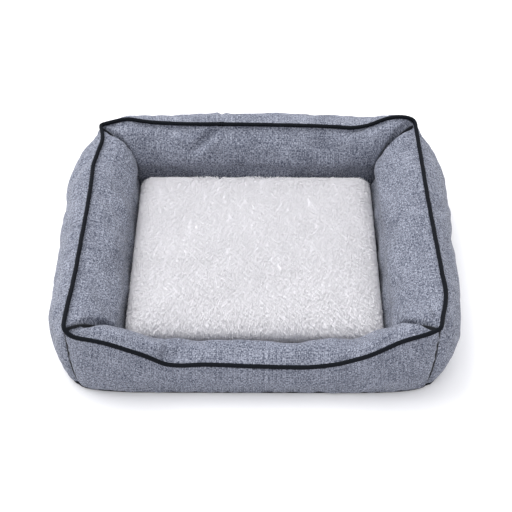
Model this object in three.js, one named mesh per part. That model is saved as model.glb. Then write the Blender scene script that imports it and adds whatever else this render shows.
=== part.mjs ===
// Pet cushion bed: four stuffed fabric walls round a square well, a piped ridge that
// dips at the front so that the pet can walk in, and a plush cushion that lifts out.
// Millimetres, +Z up, front towards -Y, origin on the floor in the middle of the bed.

import * as THREE from 'three';
import { LoftGeometry } from 'three/addons/geometries/LoftGeometry.js';

// ---- Driving dimensions -------------------------------------------------------------

// The ridge is the piped seam along the top of the walls.
const RIDGE_W = 540; // left ridge corner to right ridge corner
const RIDGE_D = 470; // front ridge corner to back ridge corner
const RIDGE_H = 135; // height of the ridge at the four corners
const RIDGE_SAG = 6; // drop of the ridge between two corners
const ENTRY_H = 67; // height of the ridge in the front entry dip
const ENTRY_W = 236; // level length of the dip
const ENTRY_SLOPE = 0.8; // share of the climb to a front corner that is an even slope

// Plan distance from the ridge line in to the foot of each wall's inner panel.
const SIDE_LEAN = 66;
const BACK_LEAN = 36;
const FRONT_LEAN = 55;

// How far the stuffing pushes each outer panel out past the line of the ridge corners.
const SIDE_BULGE = 49;
const BACK_BULGE = 78;
const FRONT_BULGE = 13;

// How far the ridge itself bows out between its corners.
const SIDE_BOW = 4;
const BACK_BOW = 5;
const FRONT_BOW = 11;

// Shape of the walls. A power sets how late a wall's fullness falls off towards its corners.
const SAG_POWER = 6;
const BOW_POWER = 4;
const BULGE_POWER = 4.5;
const ENTRY_POWER = 8; // how late the rest of the climb to a front corner comes
const OUTER_FOOT = 0.5; // share of the bulge by which the base seam stands out
const BELLY = 1.3; // handles of the outer curve, as a share of the bulge
const BELLY_LOW = 0.33; // height of the lower handle, as a share of the ridge's
const BELLY_HIGH = 0.93; // height of the upper handle, as a share of the ridge's
const INNER_ROLL = 0.55; // share of the inner panel's reach by which it rolls in at the ridge
const INNER_DROP = 0.06; // share of the way down to the shoulder that it drops meanwhile

const FABRIC_T = 1.5; // woven fabric with its interlining
const SHOULDER_H = 68; // height to which the inner panels stand almost upright
const PIPING_R = 3.5; // outside radius of the piping
const PIPING_FABRIC_T = 0.8; // bias strip round the piping cord
const PIPING_CORD_R = 1.9;
const PIPING_JOIN_X = -60; // butt join of the piping on the back ridge
const PIPING_TURN = 9; // length of ridge that the piping cuts off at each corner
const PIPING_OPENING = 0.3; // half the angle, in radians, by which the bias strip is open below

// Flat layers under the cushion.
const BASE_T = 2; // bottom fabric
const WADDING_T = 7.6; // quilted wadding over the bottom fabric
const LINER_T = 1.2; // fabric floor of the well

// Lift-out cushion.
const CUSHION_H = 61; // underside to crown, pile included
const CUSHION_SEAM_H = 24; // underside to the seam round the edge
const CUSHION_SIDE_GAP = 5; // to the foot of the left and right walls
const CUSHION_END_GAP = 6; // to the foot of the front and back walls
const CUSHION_CORNER_R = 32;
const CUSHION_MIN_R = 10; // corner radius of the rings well inside the cushion
const PLUSH_T = 8; // backing and pile of the plush top
const CROWN_INSET = 125; // from the cushion's edge to its level middle
const DOME_SPRING = 6; // height of the plush's upright edge, over the seam
const DOME_ROUNDNESS = 2.6; // 2 would be an ellipse in section, and more is boxier

// Turned-up edge of the underside: how far in, and how high over the bottom.
const TRAY_FLAT_INSET = 13;
const TRAY_BEND_INSET = 5;
const TRAY_BEND_H = 3;
const TRAY_RISE_INSET = 1;
const TRAY_RISE_H = 9;
const TRAY_UPRIGHT = 8; // upright part below the seam

// Coil zip on the back edge of the cushion.
const ZIP_MARGIN = 17; // plain seam from each end of the zip to the cushion's corner curve
const ZIP_TAPE_W = 7; // visible width of each tape
const ZIP_TAPE_T = 0.8;
const ZIP_COIL_W = 3.6;
const ZIP_COIL_T = 2;
const ZIP_STOP_L = 3;
const ZIP_STOP_PROUD = 0.5; // thickness of a stop over the coil
const SLIDER_L = 9;
const SLIDER_WALL = 1.1;
const PULL_L = 20;
const PULL_W = 6;
const PULL_T = 0.8;

// Clearances between pieces that touch or are sewn together on the real bed.
const GAP = 0.5; // between faces that rest on each other
const STUFFING_CLEAR = 5; // from the stuffing to the inside of its panels
const PIPING_CLEAR = 1.2; // from the ridge to the underside of the piping
const MITRE_GAP = 0.7; // from a wall panel's end to the mitre at the corner
const STUFFING_GAP = 1; // from the stuffing's end to the mitre

// Facets of the soft shapes.
const CURVE_STEPS = 6; // steps of one panel's curve, seam to ridge
const WALL_STEPS = 12; // steps along a plain wall
const ENTRY_STEPS = 24; // steps along the front wall
const CORNER_STEPS = 5; // steps round one corner of the cushion
const DOME_STEPS = 7; // steps from the cushion's edge to its crown
const PIPING_TURN_STEPS = 4; // steps of the piping round one corner
const COVER_STEPS = 8; // steps round the piping cover
const CORD_STEPS = 6; // steps round the piping cord

// ---- Derived places -----------------------------------------------------------------

const WALL_Z = BASE_T + GAP; // foot of the wall panels
const LINER_Z = BASE_T + GAP + WADDING_T + GAP; // underside of the well's floor
const CUSHION_Z = LINER_Z + LINER_T + GAP; // underside of the cushion
const SEAM_Z = CUSHION_Z + CUSHION_SEAM_H;
const WELL_FRONT_Y = -RIDGE_D / 2 + FRONT_LEAN;
const WELL_BACK_Y = RIDGE_D / 2 - BACK_LEAN;
const WELL_MID_Y = (WELL_FRONT_Y + WELL_BACK_Y) / 2;
const WELL_HALF_W = RIDGE_W / 2 - SIDE_LEAN;
const WELL_HALF_D = (WELL_BACK_Y - WELL_FRONT_Y) / 2;
const CUSHION_HALF_W = WELL_HALF_W - CUSHION_SIDE_GAP;
const CUSHION_HALF_D = WELL_HALF_D - CUSHION_END_GAP;
const ZIP_L = 2 * ( CUSHION_HALF_W - CUSHION_CORNER_R - ZIP_MARGIN );

// ---- Walls --------------------------------------------------------------------------

// The walls run counter-clockwise seen from above, each from one corner to the next.
// A wall is a strip of plan between its inner line, along the well, and its outer
// line, under the ridge corners. The ends of the strip are the mitres, which the
// neighbouring walls share.
const OUTER = {
	frontLeft: new THREE.Vector2( - RIDGE_W / 2, - RIDGE_D / 2 ),
	frontRight: new THREE.Vector2( RIDGE_W / 2, - RIDGE_D / 2 ),
	backRight: new THREE.Vector2( RIDGE_W / 2, RIDGE_D / 2 ),
	backLeft: new THREE.Vector2( - RIDGE_W / 2, RIDGE_D / 2 ),
};

const INNER = {
	frontLeft: new THREE.Vector2( - WELL_HALF_W, WELL_FRONT_Y ),
	frontRight: new THREE.Vector2( WELL_HALF_W, WELL_FRONT_Y ),
	backRight: new THREE.Vector2( WELL_HALF_W, WELL_BACK_Y ),
	backLeft: new THREE.Vector2( - WELL_HALF_W, WELL_BACK_Y ),
};

function makeWall( name, from, to, lean, bulge, bow, steps ) {

	const along = OUTER[ to ].clone().sub( OUTER[ from ] ).normalize();
	return { name, from, to, lean, bulge, bow, steps, out: new THREE.Vector2( along.y, - along.x ) };

}

const WALLS = [
	makeWall( 'front', 'frontLeft', 'frontRight', FRONT_LEAN, FRONT_BULGE, FRONT_BOW, ENTRY_STEPS ),
	makeWall( 'right', 'frontRight', 'backRight', SIDE_LEAN, SIDE_BULGE, SIDE_BOW, WALL_STEPS ),
	makeWall( 'back', 'backRight', 'backLeft', BACK_LEAN, BACK_BULGE, BACK_BOW, WALL_STEPS ),
	makeWall( 'left', 'backLeft', 'frontLeft', SIDE_LEAN, SIDE_BULGE, SIDE_BOW, WALL_STEPS ),
];

// Fullness of the stuffing along a wall: 1 in the middle and 0 at both corners.
function fullness( t, power ) {

	return 1 - Math.abs( 2 * t - 1 ) ** power;

}

// Plan point at fraction t along a wall and n millimetres out from its outer line.
// Negative n runs in towards the well along the slanting line that ends as the mitre.
function planPoint( wall, t, n ) {

	const outer = OUTER[ wall.from ].clone().lerp( OUTER[ wall.to ], t );
	const inner = INNER[ wall.from ].clone().lerp( INNER[ wall.to ], t );
	if ( n >= 0 ) return outer.addScaledVector( wall.out, n );
	return outer.lerp( inner, - n / wall.lean );

}

function ridgeHeight( wall, t ) {

	const level = RIDGE_H - RIDGE_SAG * fullness( t, SAG_POWER );
	if ( wall.name !== 'front' ) return level;
	const x = Math.abs( planPoint( wall, t, 0 ).x );
	const climb = Math.max( x - ENTRY_W / 2, 0 ) / ( RIDGE_W / 2 - ENTRY_W / 2 );
	const ramp = ENTRY_SLOPE * climb + ( 1 - ENTRY_SLOPE ) * climb ** ENTRY_POWER;
	return THREE.MathUtils.lerp( ENTRY_H, RIDGE_H, ramp );

}

function ridgeOffset( wall, t ) {

	return wall.bow * fullness( t, BOW_POWER );

}

// Outer panel in section, from the base seam up to the ridge, as ( n, z ).
function outerCurve( wall, t ) {

	const bulge = wall.bulge * fullness( t, BULGE_POWER );
	const height = ridgeHeight( wall, t );
	return new THREE.CubicBezierCurve(
		new THREE.Vector2( OUTER_FOOT * bulge, WALL_Z ),
		new THREE.Vector2( BELLY * bulge, BELLY_LOW * height ),
		new THREE.Vector2( BELLY * bulge, BELLY_HIGH * height ),
		new THREE.Vector2( ridgeOffset( wall, t ), height ),
	).getPoints( CURVE_STEPS );

}

// Inner panel in section, from beside the ridge down to the foot at the well.
function innerCurve( wall, t ) {

	const height = ridgeHeight( wall, t );
	const top = ridgeOffset( wall, t ) - 2 * FABRIC_T - GAP;
	const reach = top + wall.lean;
	return new THREE.CubicBezierCurve(
		new THREE.Vector2( top, height ),
		new THREE.Vector2( top - INNER_ROLL * reach, height - INNER_DROP * ( height - SHOULDER_H ) ),
		new THREE.Vector2( - wall.lean, Math.min( SHOULDER_H, height ) ),
		new THREE.Vector2( - wall.lean, WALL_Z ),
	).getPoints( CURVE_STEPS );

}

// Moves a curve sideways, to the left of the way it runs.
function offsetCurve( points, distance ) {

	return points.map( ( point, i ) => {

		const before = points[ Math.max( i - 1, 0 ) ];
		const after = points[ Math.min( i + 1, points.length - 1 ) ];
		const way = after.clone().sub( before ).normalize();
		return new THREE.Vector2( point.x - way.y * distance, point.y + way.x * distance );

	} );

}

// Place of a station along a wall. The stations draw closer together towards the
// corners, where the fullness changes fastest.
function station( u ) {

	const eased = ( 1 - Math.cos( Math.PI * u ) ) / 2;
	return ( u + eased ) / 2;

}

// Lofts one section along a wall. sectionAt gives the section's ( n, z ) points at t.
function loftAlongWall( wall, endGap, sectionAt ) {

	const innerLength = INNER[ wall.from ].distanceTo( INNER[ wall.to ] );
	const start = endGap / innerLength;
	const sections = [];
	for ( let i = 0; i <= wall.steps; i ++ ) {

		const t = THREE.MathUtils.lerp( start, 1 - start, station( i / wall.steps ) );
		sections.push( sectionAt( t ).map( ( { x: n, y: z } ) => {

			const plan = planPoint( wall, t, n );
			return new THREE.Vector3( plan.x, plan.y, z );

		} ) );

	}

	return new LoftGeometry( sections, { closed: true, capStart: true, capEnd: true } );

}

function panelSection( curve ) {

	return [ ...offsetCurve( curve, FABRIC_T ), ...curve.slice().reverse() ];

}

function outerPanel( wall ) {

	return loftAlongWall( wall, MITRE_GAP, ( t ) => panelSection( outerCurve( wall, t ) ) );

}

function innerPanel( wall ) {

	return loftAlongWall( wall, MITRE_GAP, ( t ) => panelSection( innerCurve( wall, t ) ) );

}

// The stuffing fills the space between a wall's two panels, down to the base.
function stuffing( wall ) {

	const depth = FABRIC_T + STUFFING_CLEAR;
	return loftAlongWall( wall, STUFFING_GAP, ( t ) => {

		const seam = outerCurve( wall, t );
		const outside = offsetCurve( seam, depth ).slice( 1, - 1 );
		const inside = offsetCurve( innerCurve( wall, t ), depth ).slice( 1, - 1 );
		const outerFoot = new THREE.Vector2( seam[ 0 ].x - depth, WALL_Z );
		const innerFoot = new THREE.Vector2( depth - wall.lean, WALL_Z );
		return [ outerFoot, ...outside, ...inside, innerFoot ].reverse();

	} );

}

// ---- Piping -------------------------------------------------------------------------

function ridgePoint( wall, t ) {

	const plan = planPoint( wall, t, ridgeOffset( wall, t ) );
	return new THREE.Vector3( plan.x, plan.y, ridgeHeight( wall, t ) );

}

// Points along one wall's ridge, short of its corners by the piping's turn.
function ridgeRun( wall, from = 0, to = 1 ) {

	const turn = PIPING_TURN / OUTER[ wall.from ].distanceTo( OUTER[ wall.to ] );
	const start = Math.max( from, turn );
	const end = Math.min( to, 1 - turn );
	const steps = Math.max( 2, Math.round( wall.steps * ( end - start ) ) );
	const run = [];
	for ( let i = 0; i <= steps; i ++ ) {

		const t = THREE.MathUtils.lerp( start, end, i / steps );
		run.push( ridgePoint( wall, t ) );

	}

	return run;

}

// The piping rounds a corner in plan, and its middle passes at the corner's height.
function cornerRun( before, after, wall ) {

	const start = before.at( - 1 );
	const end = after[ 0 ];
	const corner = ridgePoint( wall, 1 );
	corner.z = 2 * corner.z - ( start.z + end.z ) / 2;
	const turn = new THREE.QuadraticBezierCurve3( start, corner, end );
	return turn.getPoints( PIPING_TURN_STEPS ).slice( 1, - 1 );

}

// The ridge all the way round, from one side of the join in the piping to the other.
function ridgePath() {

	const [ front, right, back, left ] = WALLS;
	const join = ( RIDGE_W / 2 - PIPING_JOIN_X ) / RIDGE_W;
	const halfGap = GAP / RIDGE_W;
	const runs = [
		ridgeRun( back, join + halfGap, 1 ),
		ridgeRun( left ),
		ridgeRun( front ),
		ridgeRun( right ),
		ridgeRun( back, 0, join - halfGap ),
	];
	const corners = [ back, left, front, right ];
	return runs.flatMap( ( run, i ) => i < corners.length
		? [ ...run, ...cornerRun( run, runs[ i + 1 ], corners[ i ] ) ]
		: run );

}

// Sweeps a section along the ridge. The section's points are ( outwards, upwards ),
// and its middle sits just over one piping radius above the ridge.
function sweepRidge( section ) {

	const path = ridgePath();
	const sections = path.map( ( point, i ) => {

		const ahead = path[ Math.min( i + 1, path.length - 1 ) ];
		const behind = path[ Math.max( i - 1, 0 ) ];
		const way = ahead.clone().sub( behind ).normalize();
		const outwards = new THREE.Vector3( way.y, - way.x, 0 ).normalize();
		const upwards = outwards.clone().cross( way );
		const middle = point.clone().addScaledVector( upwards, PIPING_R + PIPING_CLEAR );
		return section.map( ( p ) => middle.clone()
			.addScaledVector( outwards, p.x )
			.addScaledVector( upwards, p.y ) );

	} );
	return new LoftGeometry( sections, { closed: true, capStart: true, capEnd: true } );

}

// Arc of a circle round the piping's middle, clockwise from one angle to another.
function arc( radius, from, to, steps ) {

	const points = [];
	for ( let i = 0; i <= steps; i ++ ) {

		const angle = THREE.MathUtils.lerp( from, to, i / steps );
		points.push( new THREE.Vector2( radius * Math.cos( angle ), radius * Math.sin( angle ) ) );

	}

	return points;

}

// The bias strip wraps the cord and stays open below, where its edges enter the seam.
function pipingCover() {

	const from = 1.5 * Math.PI - PIPING_OPENING;
	const to = - 0.5 * Math.PI + PIPING_OPENING;
	const outside = arc( PIPING_R, from, to, COVER_STEPS );
	const inside = arc( PIPING_R - PIPING_FABRIC_T, to, from, COVER_STEPS );
	return sweepRidge( [ ...outside, ...inside ] );

}

function pipingCord() {

	return sweepRidge( arc( PIPING_CORD_R, 2 * Math.PI, 0, CORD_STEPS ).slice( 1 ) );

}

// ---- Base ---------------------------------------------------------------------------

function plate( outline, height ) {

	return new THREE.ExtrudeGeometry( new THREE.Shape( outline ), { depth: height, bevelEnabled: false } );

}

// The bottom fabric ends at the outer panels' base seams.
function basePanel() {

	const outline = WALLS.flatMap( ( wall ) => {

		const edge = [];
		for ( let i = 0; i < WALL_STEPS; i ++ ) {

			const t = i / WALL_STEPS;
			edge.push( planPoint( wall, t, outerCurve( wall, t )[ 0 ].x ) );

		}

		return edge;

	} );
	return plate( outline, BASE_T );

}

function wellPlate( height ) {

	const w = WELL_HALF_W - GAP;
	const d = WELL_HALF_D - GAP;
	const outline = [ [ - w, - d ], [ w, - d ], [ w, d ], [ - w, d ] ];
	return plate( outline.map( ( [ x, y ] ) => new THREE.Vector2( x, y + WELL_MID_Y ) ), height );

}

// ---- Cushion ------------------------------------------------------------------------

// Rounded rectangle of the cushion's plan, grown by r, counter-clockwise.
function cushionOutline( r ) {

	const radius = Math.max( CUSHION_CORNER_R + r, CUSHION_MIN_R );
	const points = [];
	for ( let corner = 0; corner < 4; corner ++ ) {

		const sx = corner === 0 || corner === 3 ? 1 : - 1;
		const sy = corner < 2 ? 1 : - 1;
		const x = sx * ( CUSHION_HALF_W + r - radius );
		const y = sy * ( CUSHION_HALF_D + r - radius );
		for ( let i = 0; i <= CORNER_STEPS; i ++ ) {

			const angle = ( corner + i / CORNER_STEPS ) * Math.PI / 2;
			const across = x + radius * Math.cos( angle );
			const along = y + radius * Math.sin( angle );
			points.push( new THREE.Vector2( across, along ) );

		}

	}

	return points;

}

// Closed body from a profile of ( r, z ) points, each one a ring of the cushion's plan.
// The profile runs outwards below and back over the top, and both ends are capped.
function ringSolid( profile ) {

	const rings = profile.map( ( { x: r, y: z } ) => {

		return cushionOutline( r ).map( ( p ) => [ p.x, p.y + WELL_MID_Y, z ] );

	} );
	const count = rings[ 0 ].length;
	const index = [];
	for ( let i = 0; i < rings.length - 1; i ++ ) {

		for ( let j = 0; j < count; j ++ ) {

			const a = i * count + j;
			const b = i * count + ( j + 1 ) % count;
			index.push( a, b, b + count, a, b + count, a + count );

		}

	}

	const last = ( rings.length - 1 ) * count;
	for ( let j = 1; j < count - 1; j ++ ) {

		index.push( 0, j + 1, j );
		index.push( last, last + j, last + j + 1 );

	}

	const geometry = new THREE.BufferGeometry();
	geometry.setAttribute( 'position', new THREE.Float32BufferAttribute( rings.flat( 2 ), 3 ) );
	geometry.setIndex( index );
	geometry.computeVertexNormals();
	return geometry;

}

// Dome of the plush top, from the edge seam to the crown.
function domeProfile() {

	const spring = SEAM_Z + DOME_SPRING;
	const rise = CUSHION_Z + CUSHION_H - spring;
	const points = [ new THREE.Vector2( 0, SEAM_Z + GAP / 2 ) ];
	for ( let i = 0; i <= DOME_STEPS; i ++ ) {

		const inwards = ( i / DOME_STEPS ) ** 2;
		const height = ( 1 - ( 1 - inwards ) ** DOME_ROUNDNESS ) ** ( 1 / DOME_ROUNDNESS );
		points.push( new THREE.Vector2( - CROWN_INSET * inwards, spring + rise * height ) );

	}

	return points;

}

// Flat underside that turns up to the edge seam.
function trayProfile() {

	return [
		new THREE.Vector2( - TRAY_FLAT_INSET, CUSHION_Z ),
		new THREE.Vector2( - TRAY_BEND_INSET, CUSHION_Z + TRAY_BEND_H ),
		new THREE.Vector2( - TRAY_RISE_INSET, CUSHION_Z + TRAY_RISE_H ),
		new THREE.Vector2( 0, SEAM_Z - TRAY_UPRIGHT ),
		new THREE.Vector2( 0, SEAM_Z - GAP / 2 ),
	];

}

function plushTop() {

	const dome = domeProfile();
	return ringSolid( [ ...offsetCurve( dome, PLUSH_T ).reverse(), ...dome ] );

}

function cushionUnderside() {

	const tray = trayProfile();
	return ringSolid( [ ...tray, ...offsetCurve( tray, FABRIC_T ).reverse() ] );

}

function cushionFill() {

	const below = offsetCurve( trayProfile(), FABRIC_T + GAP ).slice( 0, - 2 );
	const above = offsetCurve( domeProfile(), PLUSH_T + GAP ).slice( 1 );
	const step = new THREE.Vector2( - PLUSH_T - GAP, SEAM_Z - GAP );
	return ringSolid( [ ...below, step, ...above ] );

}

// ---- Zip ----------------------------------------------------------------------------

const ZIP_Y = WELL_MID_Y + CUSHION_HALF_D + GAP; // face that the tapes lie on
const SLIDER_PARKED_X = ZIP_L / 2 - ZIP_STOP_L - GAP - SLIDER_L / 2;

function zipTape() {

	return new THREE.BoxGeometry( ZIP_L, ZIP_TAPE_T, ZIP_TAPE_W );

}

function zipTapeZ( side ) {

	return SEAM_Z + side * ( ZIP_COIL_W / 2 + GAP + ZIP_TAPE_W / 2 );

}

function zipCoil() {

	return new THREE.BoxGeometry( ZIP_L - 2 * ( ZIP_STOP_L + GAP ), ZIP_COIL_T, ZIP_COIL_W );

}

function zipStop() {

	return new THREE.BoxGeometry( ZIP_STOP_L, ZIP_COIL_T + ZIP_STOP_PROUD, ZIP_COIL_W );

}

// Channel that straddles the coil, as ( z, y ) and drawn out along the zip.
function zipSlider() {

	const half = ZIP_COIL_W / 2 + GAP;
	const lip = ZIP_TAPE_T + GAP;
	const roof = ZIP_COIL_T + GAP;
	const shape = new THREE.Shape( [
		new THREE.Vector2( - half - SLIDER_WALL, lip ),
		new THREE.Vector2( - half, lip ),
		new THREE.Vector2( - half, roof ),
		new THREE.Vector2( half, roof ),
		new THREE.Vector2( half, lip ),
		new THREE.Vector2( half + SLIDER_WALL, lip ),
		new THREE.Vector2( half + SLIDER_WALL, roof + SLIDER_WALL ),
		new THREE.Vector2( - half - SLIDER_WALL, roof + SLIDER_WALL ),
	] );
	const geometry = new THREE.ExtrudeGeometry( shape, { depth: SLIDER_L, bevelEnabled: false } );
	geometry.translate( 0, 0, - SLIDER_L / 2 );
	geometry.rotateY( - Math.PI / 2 );
	return geometry;

}

function zipPull() {

	return new THREE.BoxGeometry( PULL_L, PULL_T, PULL_W );

}

// ---- Assembly -----------------------------------------------------------------------

const weave = new THREE.MeshStandardMaterial( { color: 0x8389a0, roughness: 0.9, metalness: 0 } );
const navy = new THREE.MeshStandardMaterial( { color: 0x232a36, roughness: 0.8, metalness: 0 } );
const lining = new THREE.MeshStandardMaterial( { color: 0x4a4f5b, roughness: 0.95, metalness: 0 } );
const fibre = new THREE.MeshStandardMaterial( { color: 0xf1f0ec, roughness: 1, metalness: 0 } );
const plush = new THREE.MeshStandardMaterial( { color: 0xe9e6ec, roughness: 1, metalness: 0 } );
const nylon = new THREE.MeshStandardMaterial( { color: 0x2d333f, roughness: 0.5, metalness: 0 } );
const zinc = new THREE.MeshStandardMaterial( { color: 0x9a9da3, roughness: 0.35, metalness: 1 } );

const bed = new THREE.Group();

function add( name, geometry, material, x = 0, y = 0, z = 0 ) {

	const mesh = new THREE.Mesh( geometry, material );
	mesh.name = name;
	mesh.position.set( x, y, z );
	bed.add( mesh );

}

for ( const wall of WALLS ) {

	add( `outer_panel_${ wall.name }`, outerPanel( wall ), weave );
	add( `inner_panel_${ wall.name }`, innerPanel( wall ), weave );
	add( `wall_stuffing_${ wall.name }`, stuffing( wall ), fibre );

}

add( 'piping_cover', pipingCover(), navy );
add( 'piping_cord', pipingCord(), fibre );
add( 'base_panel', basePanel(), lining );
add( 'base_wadding', wellPlate( WADDING_T ), fibre, 0, 0, BASE_T + GAP );
add( 'well_floor', wellPlate( LINER_T ), weave, 0, 0, LINER_Z );
add( 'cushion_plush_top', plushTop(), plush );
add( 'cushion_underside', cushionUnderside(), weave );
add( 'cushion_fill', cushionFill(), fibre );
add( 'zip_tape_upper', zipTape(), nylon, 0, ZIP_Y + ZIP_TAPE_T / 2, zipTapeZ( 1 ) );
add( 'zip_tape_lower', zipTape(), nylon, 0, ZIP_Y + ZIP_TAPE_T / 2, zipTapeZ( - 1 ) );
add( 'zip_coil', zipCoil(), nylon, 0, ZIP_Y + ZIP_COIL_T / 2, SEAM_Z );

const stopX = ( ZIP_L - ZIP_STOP_L ) / 2;
const stopY = ZIP_Y + ( ZIP_COIL_T + ZIP_STOP_PROUD ) / 2;
add( 'zip_stop_left', zipStop(), zinc, - stopX, stopY, SEAM_Z );
add( 'zip_stop_right', zipStop(), zinc, stopX, stopY, SEAM_Z );

const pullX = SLIDER_PARKED_X + ( SLIDER_L - PULL_L ) / 2;
const pullY = ZIP_Y + ZIP_COIL_T + GAP + SLIDER_WALL + GAP + PULL_T / 2;
add( 'zip_slider', zipSlider(), zinc, SLIDER_PARKED_X, ZIP_Y, SEAM_Z );
add( 'zip_pull', zipPull(), zinc, pullX, pullY, SEAM_Z );

// The back wall bulges further than the front one, so the origin goes to the middle.
bed.position.y = - new THREE.Box3().setFromObject( bed ).getCenter( new THREE.Vector3() ).y;

export default bed;
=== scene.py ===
# %% [markdown]
# # A cushion bed for a small pet
# Four stuffed cloth walls stand round a square well. A piped seam runs along the top
# of the walls and dips at the front, and a plush cushion lies in the well. The frame
# below is the measured model, in metres, and every piece here is fitted to it.

# %% Load the frame
import math
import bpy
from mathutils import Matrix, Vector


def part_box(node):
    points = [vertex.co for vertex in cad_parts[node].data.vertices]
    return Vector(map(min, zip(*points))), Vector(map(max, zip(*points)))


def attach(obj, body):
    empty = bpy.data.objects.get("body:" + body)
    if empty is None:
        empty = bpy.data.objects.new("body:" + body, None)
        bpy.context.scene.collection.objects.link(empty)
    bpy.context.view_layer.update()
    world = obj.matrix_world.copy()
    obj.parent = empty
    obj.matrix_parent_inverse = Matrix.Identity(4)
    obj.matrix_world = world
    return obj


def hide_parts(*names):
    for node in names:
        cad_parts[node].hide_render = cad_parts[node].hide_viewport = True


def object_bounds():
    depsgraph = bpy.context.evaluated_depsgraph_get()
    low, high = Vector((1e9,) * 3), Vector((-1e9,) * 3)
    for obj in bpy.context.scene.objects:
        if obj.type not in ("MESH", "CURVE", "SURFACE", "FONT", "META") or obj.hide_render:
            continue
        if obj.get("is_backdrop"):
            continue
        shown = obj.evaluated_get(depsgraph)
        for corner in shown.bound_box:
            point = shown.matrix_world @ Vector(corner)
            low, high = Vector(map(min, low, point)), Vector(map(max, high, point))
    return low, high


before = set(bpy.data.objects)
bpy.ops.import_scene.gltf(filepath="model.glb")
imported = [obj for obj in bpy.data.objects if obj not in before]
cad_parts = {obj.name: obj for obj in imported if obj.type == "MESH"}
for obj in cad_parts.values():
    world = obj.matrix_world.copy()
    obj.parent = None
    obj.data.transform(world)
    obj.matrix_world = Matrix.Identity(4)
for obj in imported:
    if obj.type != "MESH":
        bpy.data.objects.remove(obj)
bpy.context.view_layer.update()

from types import SimpleNamespace

import bpy
import numpy as np

MM = 0.001

# %% [markdown]
# ## Camera
# The bed is looked at from the front and from above, at 45 degrees, with a fairly long
# lens, as a catalogue picture is taken. The camera is made first.

# %% Camera
CAMERA_PLACE = (0.009, -1.3525, 1.371)
CAMERA_TILT = 45
CAMERA_TURN = 0.32
CAMERA_LENS = 80.4
SENSOR_WIDTH = 36

camera_data = bpy.data.cameras.new("camera")
camera_data.lens = CAMERA_LENS
camera_data.sensor_width = SENSOR_WIDTH
camera = bpy.data.objects.new("camera", camera_data)
camera.location = CAMERA_PLACE
camera.rotation_euler = (math.radians(CAMERA_TILT), 0, math.radians(CAMERA_TURN))
bpy.context.collection.objects.link(camera)
bpy.context.scene.camera = camera

# %% [markdown]
# ## Sizes
# Everything is placed from the frame's own boxes. Sizes that the pieces share are
# worked out here once: where the walls stand, where the well is and how high the
# layers lie.

# %% Sizes from the frame
def span(node, axis):
    """Lowest and highest value of a node's box along one axis, in metres."""
    low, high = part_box(node)
    return low[axis], high[axis]


MID_Y = sum(span("outer_panel_right", 1)) / 2
WALL_FOOT_Z = span("outer_panel_left", 2)[0]
WELL_HALF_W = span("inner_panel_right", 0)[0]
RIDGE_HALF_D = 235 * MM
BACK_LEAN = 36 * MM
FRONT_LEAN = 55 * MM
WELL_FRONT_Y = MID_Y - RIDGE_HALF_D + FRONT_LEAN
WELL_BACK_Y = MID_Y + RIDGE_HALF_D - BACK_LEAN
SHOULDER_Z = 68 * MM
CLOTH_T = 1.5 * MM
PIPING_R = 3.5 * MM
PIPING_SEAT = 3 * MM
PIPING_HALF_SEAM = 1.75 * MM
print("well", WELL_HALF_W, WELL_FRONT_Y, WELL_BACK_Y, "middle", MID_Y)

# %% [markdown]
# ## Shape helpers
# A smooth curve through a few chosen points, a Bezier curve and a smooth noise made of
# sine waves are all that the soft shapes need. Each works on whole arrays at once.

# %% Curves and noise
def hermite(at, values, where):
    """Smooth curve through values given at places `at`: between two of them a cubic, whose slopes there are
    the centred differences."""
    slopes = np.gradient(values, at, axis=0)
    i = np.clip(np.searchsorted(at, where, side="right") - 1, 0, len(at) - 2)
    step = (at[i + 1] - at[i]).reshape(-1, *[1] * (values.ndim - 1))
    u = (where - at[i]).reshape(step.shape) / step
    return (
        (2 * u**3 - 3 * u**2 + 1) * values[i]
        + (u**3 - 2 * u**2 + u) * step * slopes[i]
        + (3 * u**2 - 2 * u**3) * values[i + 1]
        + (u**3 - u**2) * step * slopes[i + 1]
    )


def resample(grid, count, axis):
    """The grid with count rows (axis 0) or columns (axis 1), on smooth curves through those it has."""
    grid = np.moveaxis(grid, axis, 0)
    last = len(grid) - 1
    made = hermite(np.arange(last + 1.0), grid, np.linspace(0, last, count))
    return np.moveaxis(made, 0, axis)


def bezier(a, b, c, d, s):
    """Cubic Bezier curve from a to d with handles b and c, at s from 0 to 1."""
    return (1 - s) ** 3 * a + 3 * s * (1 - s) ** 2 * b + 3 * s**2 * (1 - s) * c + s**3 * d


def ease(x, low, high):
    """0 below low, 1 above high and 3u^2 - 2u^3 between."""
    u = np.clip((x - low) / (high - low), 0, 1)
    return u * u * (3 - 2 * u)


def unit(v):
    """Vectors scaled to length 1."""
    return v / np.maximum(np.linalg.norm(v, axis=-1, keepdims=True), 1e-12)


def ripples(places, length, seed, waves=14):
    """Smooth noise of about -1 to 1: the mean of sine waves in random directions, roughly `length` long."""
    random = np.random.default_rng(seed)
    ways = unit(random.normal(size=(waves, places.shape[-1])))
    ways *= 2 * np.pi / (length * random.uniform(0.7, 1.5, (waves, 1)))
    start = random.uniform(0, 2 * np.pi, waves)
    return np.sin(places @ ways.T + start).sum(-1) / math.sqrt(waves)


# %% [markdown]
# ## Mesh helpers
# A surface is a grid of points; its faces join each point to the next one along and
# across. A tube is such a grid carried along a path and closed round it.

# %% Grids and meshes
def grid_faces(rows, cols, wrap_rows=False, wrap_cols=False):
    """Four-cornered faces of a grid numbered row by row. A wrapped side joins its last line to its
    first."""
    i = np.arange(rows if wrap_rows else rows - 1)[:, None]
    j = np.arange(cols if wrap_cols else cols - 1)[None, :]
    below, right = (i + 1) % rows, (j + 1) % cols
    corners = [i * cols + j, i * cols + right, below * cols + right, below * cols + j]
    return np.stack(np.broadcast_arrays(*corners), -1).reshape(-1, 4)


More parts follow.
